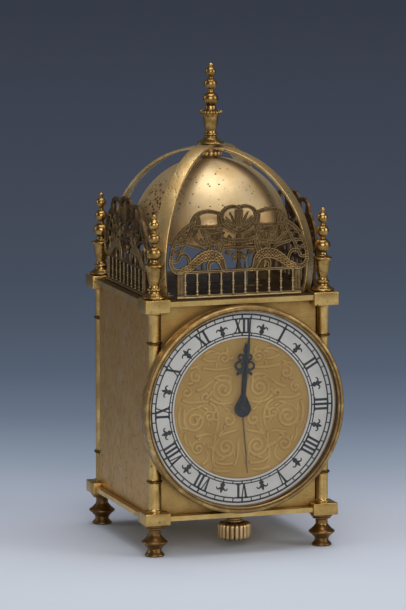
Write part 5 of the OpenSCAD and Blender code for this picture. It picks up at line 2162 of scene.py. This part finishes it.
    def track(self) -> None:
        """The circles, the sixty minute ticks and the forty-eight quarter ticks."""
        parts = []
        face = self.print_face()
        for i, (radius, wide) in enumerate(self.circles):
            rings = [arc((0, 0), radius + s * wide / 2, 0, 357.5, 143) for s in (-1, 1)]
            parts.append(self.bench.plate(f"circle_{i}", rings, self.ink, face, 0.004, 0))
        ticks = []
        for count, inner, outer, wide in self.ticks:
            for i in range(count):
                heavy = 1.5 if i % (count // 12) == 0 else 1
                half, tall = wide * heavy / 2, outer - inner
                bar = [(-half, 0), (half, 0), (half, tall), (-half, tall)]
                ticks.append(self.on_ring(bar, 360 * i / count, inner))
        parts.append(self.stamped("ticks", ticks))
        self.bench.fit(self.bench.join("printed_track", parts), Finish.INK)

    def stamped(self, name: str, shapes: Sequence[Line]) -> Piece:
        """Thin ink shapes that may overlap: each is its own closed slab.

        Args:
            name: name of the piece.
            shapes: closed outlines about the dial's centre.

        Returns:
            One mesh of all the slabs.
        """
        slabs = [
            self.bench.curve(f"{name}_{i}", [s], closed=True, flat=True, extrude=self.ink / 2)
            for i, s in enumerate(shapes)
        ]
        piece = self.bench.join(name, slabs)
        lift = Matrix.Translation((0, 0, self.ink / 2))
        self.bench.settle(piece, self.print_face().matrix @ lift)
        return self.bench.outward(piece, 0.0001)

    def printed(self, name: str, shapes: Sequence[Line]) -> None:
        """Ink shapes as a finished piece."""
        self.bench.fit(self.stamped(name, shapes), Finish.INK)

    def build(self) -> None:
        """Makes the dial."""
        self.bezel()
        self.ground()
        self.ring()
        self.numerals()
        self.marks()
        self.track()


@dataclass
class Hands:
    """The three hands, with rounded edges, and the domed cap on the minute hand."""

    bench: Bench
    edge: float = 0.07
    cap_radius: float = 1.3
    cap_sunk: float = 0.25

    def build(self) -> None:
        """Makes the hands."""
        for node, body, finish in (
            ("alarm_hand", "alarm_work", Finish.ALARM_HAND),
            ("hour_hand", "hour_work", Finish.HAND),
            ("minute_hand", "minute_work", Finish.HAND),
        ):
            self.bench.renew(node, f"filed_{node}", self.edge, finish, body, 1)
        wide = self.cap_radius
        dome = [(0, 0.7), *arc((0, -0.6), wide, 52, 4, 8), (wide, -0.2), (0, -0.2)]
        profile = [(r, h - self.cap_sunk) for r, h in dome]
        at = (0, low_of("minute_hand").y, middle("bezel").z)
        cap = self.bench.turned("domed_hand_cap", profile, at, 40, forward=True)
        self.bench.fit(cap, Finish.HAND, "minute_work")


# ---------------- controls


@dataclass
class Controls:
    """Crown and its collar under the case, alarm knob and stop button at the back."""

    bench: Bench
    flutes: int = 20
    flute_depth: float = 0.72
    crown_round: float = 1.1

    def fluted(self, radius: float) -> list[Point]:
        """Outline of a knob whose edge waves in round flutes.

        Args:
            radius: its outer radius.

        Returns:
            A closed outline.
        """
        count = self.flutes * 10
        out = []
        for i in range(count):
            a = math.tau * i / count
            r = radius - self.flute_depth * (1 - abs(math.sin(a * self.flutes / 2)) ** 0.8)
            out.append((r * math.cos(a), r * math.sin(a)))
        return out

    def crown(self) -> None:
        """The fluted crown, its turned end and its collar."""
        foot, size = (0, middle("crown").y, low_of("crown").z), span("crown")
        body = self.bench.plate(
            "crown_body", [self.fluted(size.x / 2)], size.z, Face(foot, (1, 0, 0), (0, 1, 0)),
            self.crown_round, 4,
        )
        end = Profile(((-0.02, 3.4), (0.1, 3.8), (0.6, 4.1), (1.2, 4.2)), ((0.25, 3.4, 0.5),))
        boss = self.bench.turned("crown_end", end.points(), foot, 48)
        whole = self.bench.join("fluted_crown", [body, boss])
        self.bench.fit(whole, Finish.CROWN, "crown", "crown")
        size = span("crown_bush")
        tall, wide = size.z, size.x / 2
        collar = Profile(
            ((0, wide - 0.7), (0.4, wide - 0.3), (0.9, wide - 0.3), (1.2, wide - 0.8),
             (1.7, wide - 0.8), (2.1, wide - 0.2), (tall - 0.1, wide), (tall, wide)),
            ((0.65, wide - 0.1, 0.6),),
        )
        foot = (0, foot[1], low_of("crown_bush").z)
        piece = self.bench.turned("turned_crown_bush", collar.points(), foot, 48)
        self.bench.fit(piece, Finish.CROWN, CASE, "crown_bush")

    def back(self) -> None:
        """The knob and the button at the back."""
        knob, button = "alarm_knob", "stop_button"
        self.bench.renew(knob, "fluted_alarm_knob", 0.12, Finish.CROWN, knob)
        self.bench.renew(button, "round_stop_button", 0.25, Finish.CROWN, button, 3)
        self.bench.renew("case_screws", "slotted_case_screws", 0.08, Finish.STEEL)

    def build(self) -> None:
        """Makes the controls."""
        self.crown()
        self.back()


@dataclass
class Movement:
    """The works inside the case, which keep their CAD shapes."""

    bench: Bench
    steel: tuple[str, ...] = (
        "movement_posts", "mainsprings", "pallet_lever", "hammer", "crown_stem", "setting_yoke",
    )
    brass: tuple[str, ...] = (
        "movement_front_plate", "movement_back_plate", "going_barrel", "alarm_barrel",
        "centre_wheel", "third_wheel", "fourth_wheel", "escape_wheel", "balance_wheel",
        "cannon_pinion", "minute_wheel", "hour_wheel", "alarm_wheel", "hammer_wheel",
    )

    def build(self) -> None:
        """Finishes each node."""
        for node in self.steel:
            self.bench.paint_node(node, Finish.STEEL)
        for node in self.brass:
            self.bench.paint_node(node, Finish.MOVEMENT)


# ---------------- studio


@dataclass(frozen=True)
class SoftBox:
    """A rectangular soft light: its place and size in metres, its power in watts."""

    name: str
    at: Triple
    size: Point
    power: float
    colour: Colour = (1, 1, 1)


@dataclass
class Studio:
    """Floor, soft light and camera."""

    floor_size: float = 16.0
    azimuth: float = -18.4
    elevation: float = 8.7
    distance: float = 1.933
    lens: float = 302.0
    aim_height: float = 0.090
    image: tuple[int, int] = (406, 610)
    aim_pixel: Point = (210.7, 299.8)
    # floor colours by distance behind the clock: painted light, pale near the clock and dark far
    # away
    shades: tuple[tuple[float, Colour], ...] = (
        (-0.114, (0.66, 0.72, 0.81)), (-0.033, (0.625, 0.675, 0.78)),
        (0.055, (0.495, 0.54, 0.65)), (0.151, (0.32, 0.387, 0.487)),
        (0.258, (0.185, 0.237, 0.328)), (0.375, (0.121, 0.161, 0.237)),
        (0.506, (0.104, 0.138, 0.199)), (0.65, (0.098, 0.129, 0.191)),
        (0.816, (0.108, 0.135, 0.196)), (1.0, (0.124, 0.15, 0.221)),
        (1.215, (0.139, 0.169, 0.253)), (1.46, (0.161, 0.198, 0.287)),
        (1.747, (0.185, 0.221, 0.316)), (2.09, (0.198, 0.238, 0.346)),
    )
    away: Point = (0.316, 0.949)
    near: float = -0.2
    far: float = 2.2
    light_aim: Triple = (0, 0, 0.1)
    boxes: tuple[SoftBox, ...] = (
        SoftBox("overhead_box", (0.05, -0.05, 1.15), (1.0, 0.8), 8.3),
        SoftBox("front_box", (-0.55, -1.9, 0.8), (1.3, 1.0), 16.0, (1.0, 0.97, 0.93)),
        SoftBox("right_box", (1.4, -1.05, 0.72), (0.8, 1.1), 9.0, (1.0, 0.97, 0.94)),
        SoftBox("left_box", (-1.5, 0.9, 0.6), (0.6, 1.0), 3.4, (1.0, 0.95, 0.89)),
    )
    world_colour: Colour = (0.40, 0.42, 0.46)
    world_strength: float = 0.22

    def floor(self) -> None:
        """A wide seamless floor, its colour graded from pale under the clock to slate blue in the
        distance: painted light that falls off away from the clock.
        """
        bpy.ops.object.select_all(action="DESELECT")
        bpy.ops.mesh.primitive_grid_add(x_subdivisions=8, y_subdivisions=8, size=self.floor_size)
        floor = bpy.context.active_object
        floor.name = "studio_floor"
        s = Shader("studio_floor_skin")
        behind = self.away[0] * s.axis("X") + self.away[1] * s.axis("Y")
        # the colour grade paints the fall of light away from the clock
        stops = [((u - self.near) / (self.far - self.near), c) for u, c in self.shades]
        depth = behind.between(self.near, self.far)
        shade = s.node("ShaderNodeValToRGB", {"stops": stops}, {0: depth}, "Color")
        paper = s.noise(3, 3)
        floor.data.materials.append(
            s.principled(Base_Color=shade, Roughness=0.7 + 0.1 * paper, Specular_IOR_Level=0.2)
        )

    def light(self) -> None:
        """The soft boxes, all facing the clock, and an even world."""
        for box in self.boxes:
            bpy.ops.object.light_add(type="AREA", location=box.at)
            lamp = bpy.context.active_object
            lamp.name = box.name
            lamp.data.shape = "RECTANGLE"
            lamp.data.size, lamp.data.size_y = box.size
            lamp.data.energy = box.power
            lamp.data.color = box.colour
            facing = Vector(self.light_aim) - Vector(box.at)
            lamp.rotation_euler = facing.to_track_quat("-Z", "Y").to_euler()
        world = bpy.data.worlds.new("studio_world")
        bpy.context.scene.world = world
        world.use_nodes = True
        back = world.node_tree.nodes["Background"]
        back.inputs["Color"].default_value = (*self.world_colour, 1)
        back.inputs["Strength"].default_value = self.world_strength

    def camera(self) -> None:
        """The camera at the photograph's angle, shifted as the photograph is framed."""
        a, e = math.radians(self.azimuth), math.radians(self.elevation)
        back = Vector((math.sin(a) * math.cos(e), -math.cos(a) * math.cos(e), math.sin(e)))
        aim = Vector((0, 0, self.aim_height))
        bpy.ops.object.camera_add(location=aim + back * self.distance)
        camera = bpy.context.active_object
        camera.rotation_euler = (-back).to_track_quat("-Z", "Y").to_euler()
        camera.data.lens = self.lens
        camera.data.clip_start, camera.data.clip_end = 0.05, 50
        wide, tall = self.image
        camera.data.shift_x = (wide / 2 - self.aim_pixel[0]) / tall
        camera.data.shift_y = (self.aim_pixel[1] - tall / 2) / tall
        bpy.context.scene.camera = camera

    def build(self) -> None:
        """Sets the studio up."""
        self.floor()
        self.light()
        self.camera()
        bpy.context.scene.view_settings.view_transform = "Standard"


# ---------------- assembly


def main() -> None:
    """Builds the sub-assemblies in order."""
    logging.basicConfig(level=logging.INFO, format="%(message)s")
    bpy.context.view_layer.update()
    bench = Bench()
    for assembly in (
        Uprights(bench), CaseFrame(bench), BellCage(bench), Frets(bench), Dial(bench),
        Hands(bench), Controls(bench), Movement(bench), Studio(),
    ):
        assembly.build()
        log.info("%s done", type(assembly).__name__)
    log.info("%d pieces made", len(bench.made))


if __name__ == "__main__":
    main()
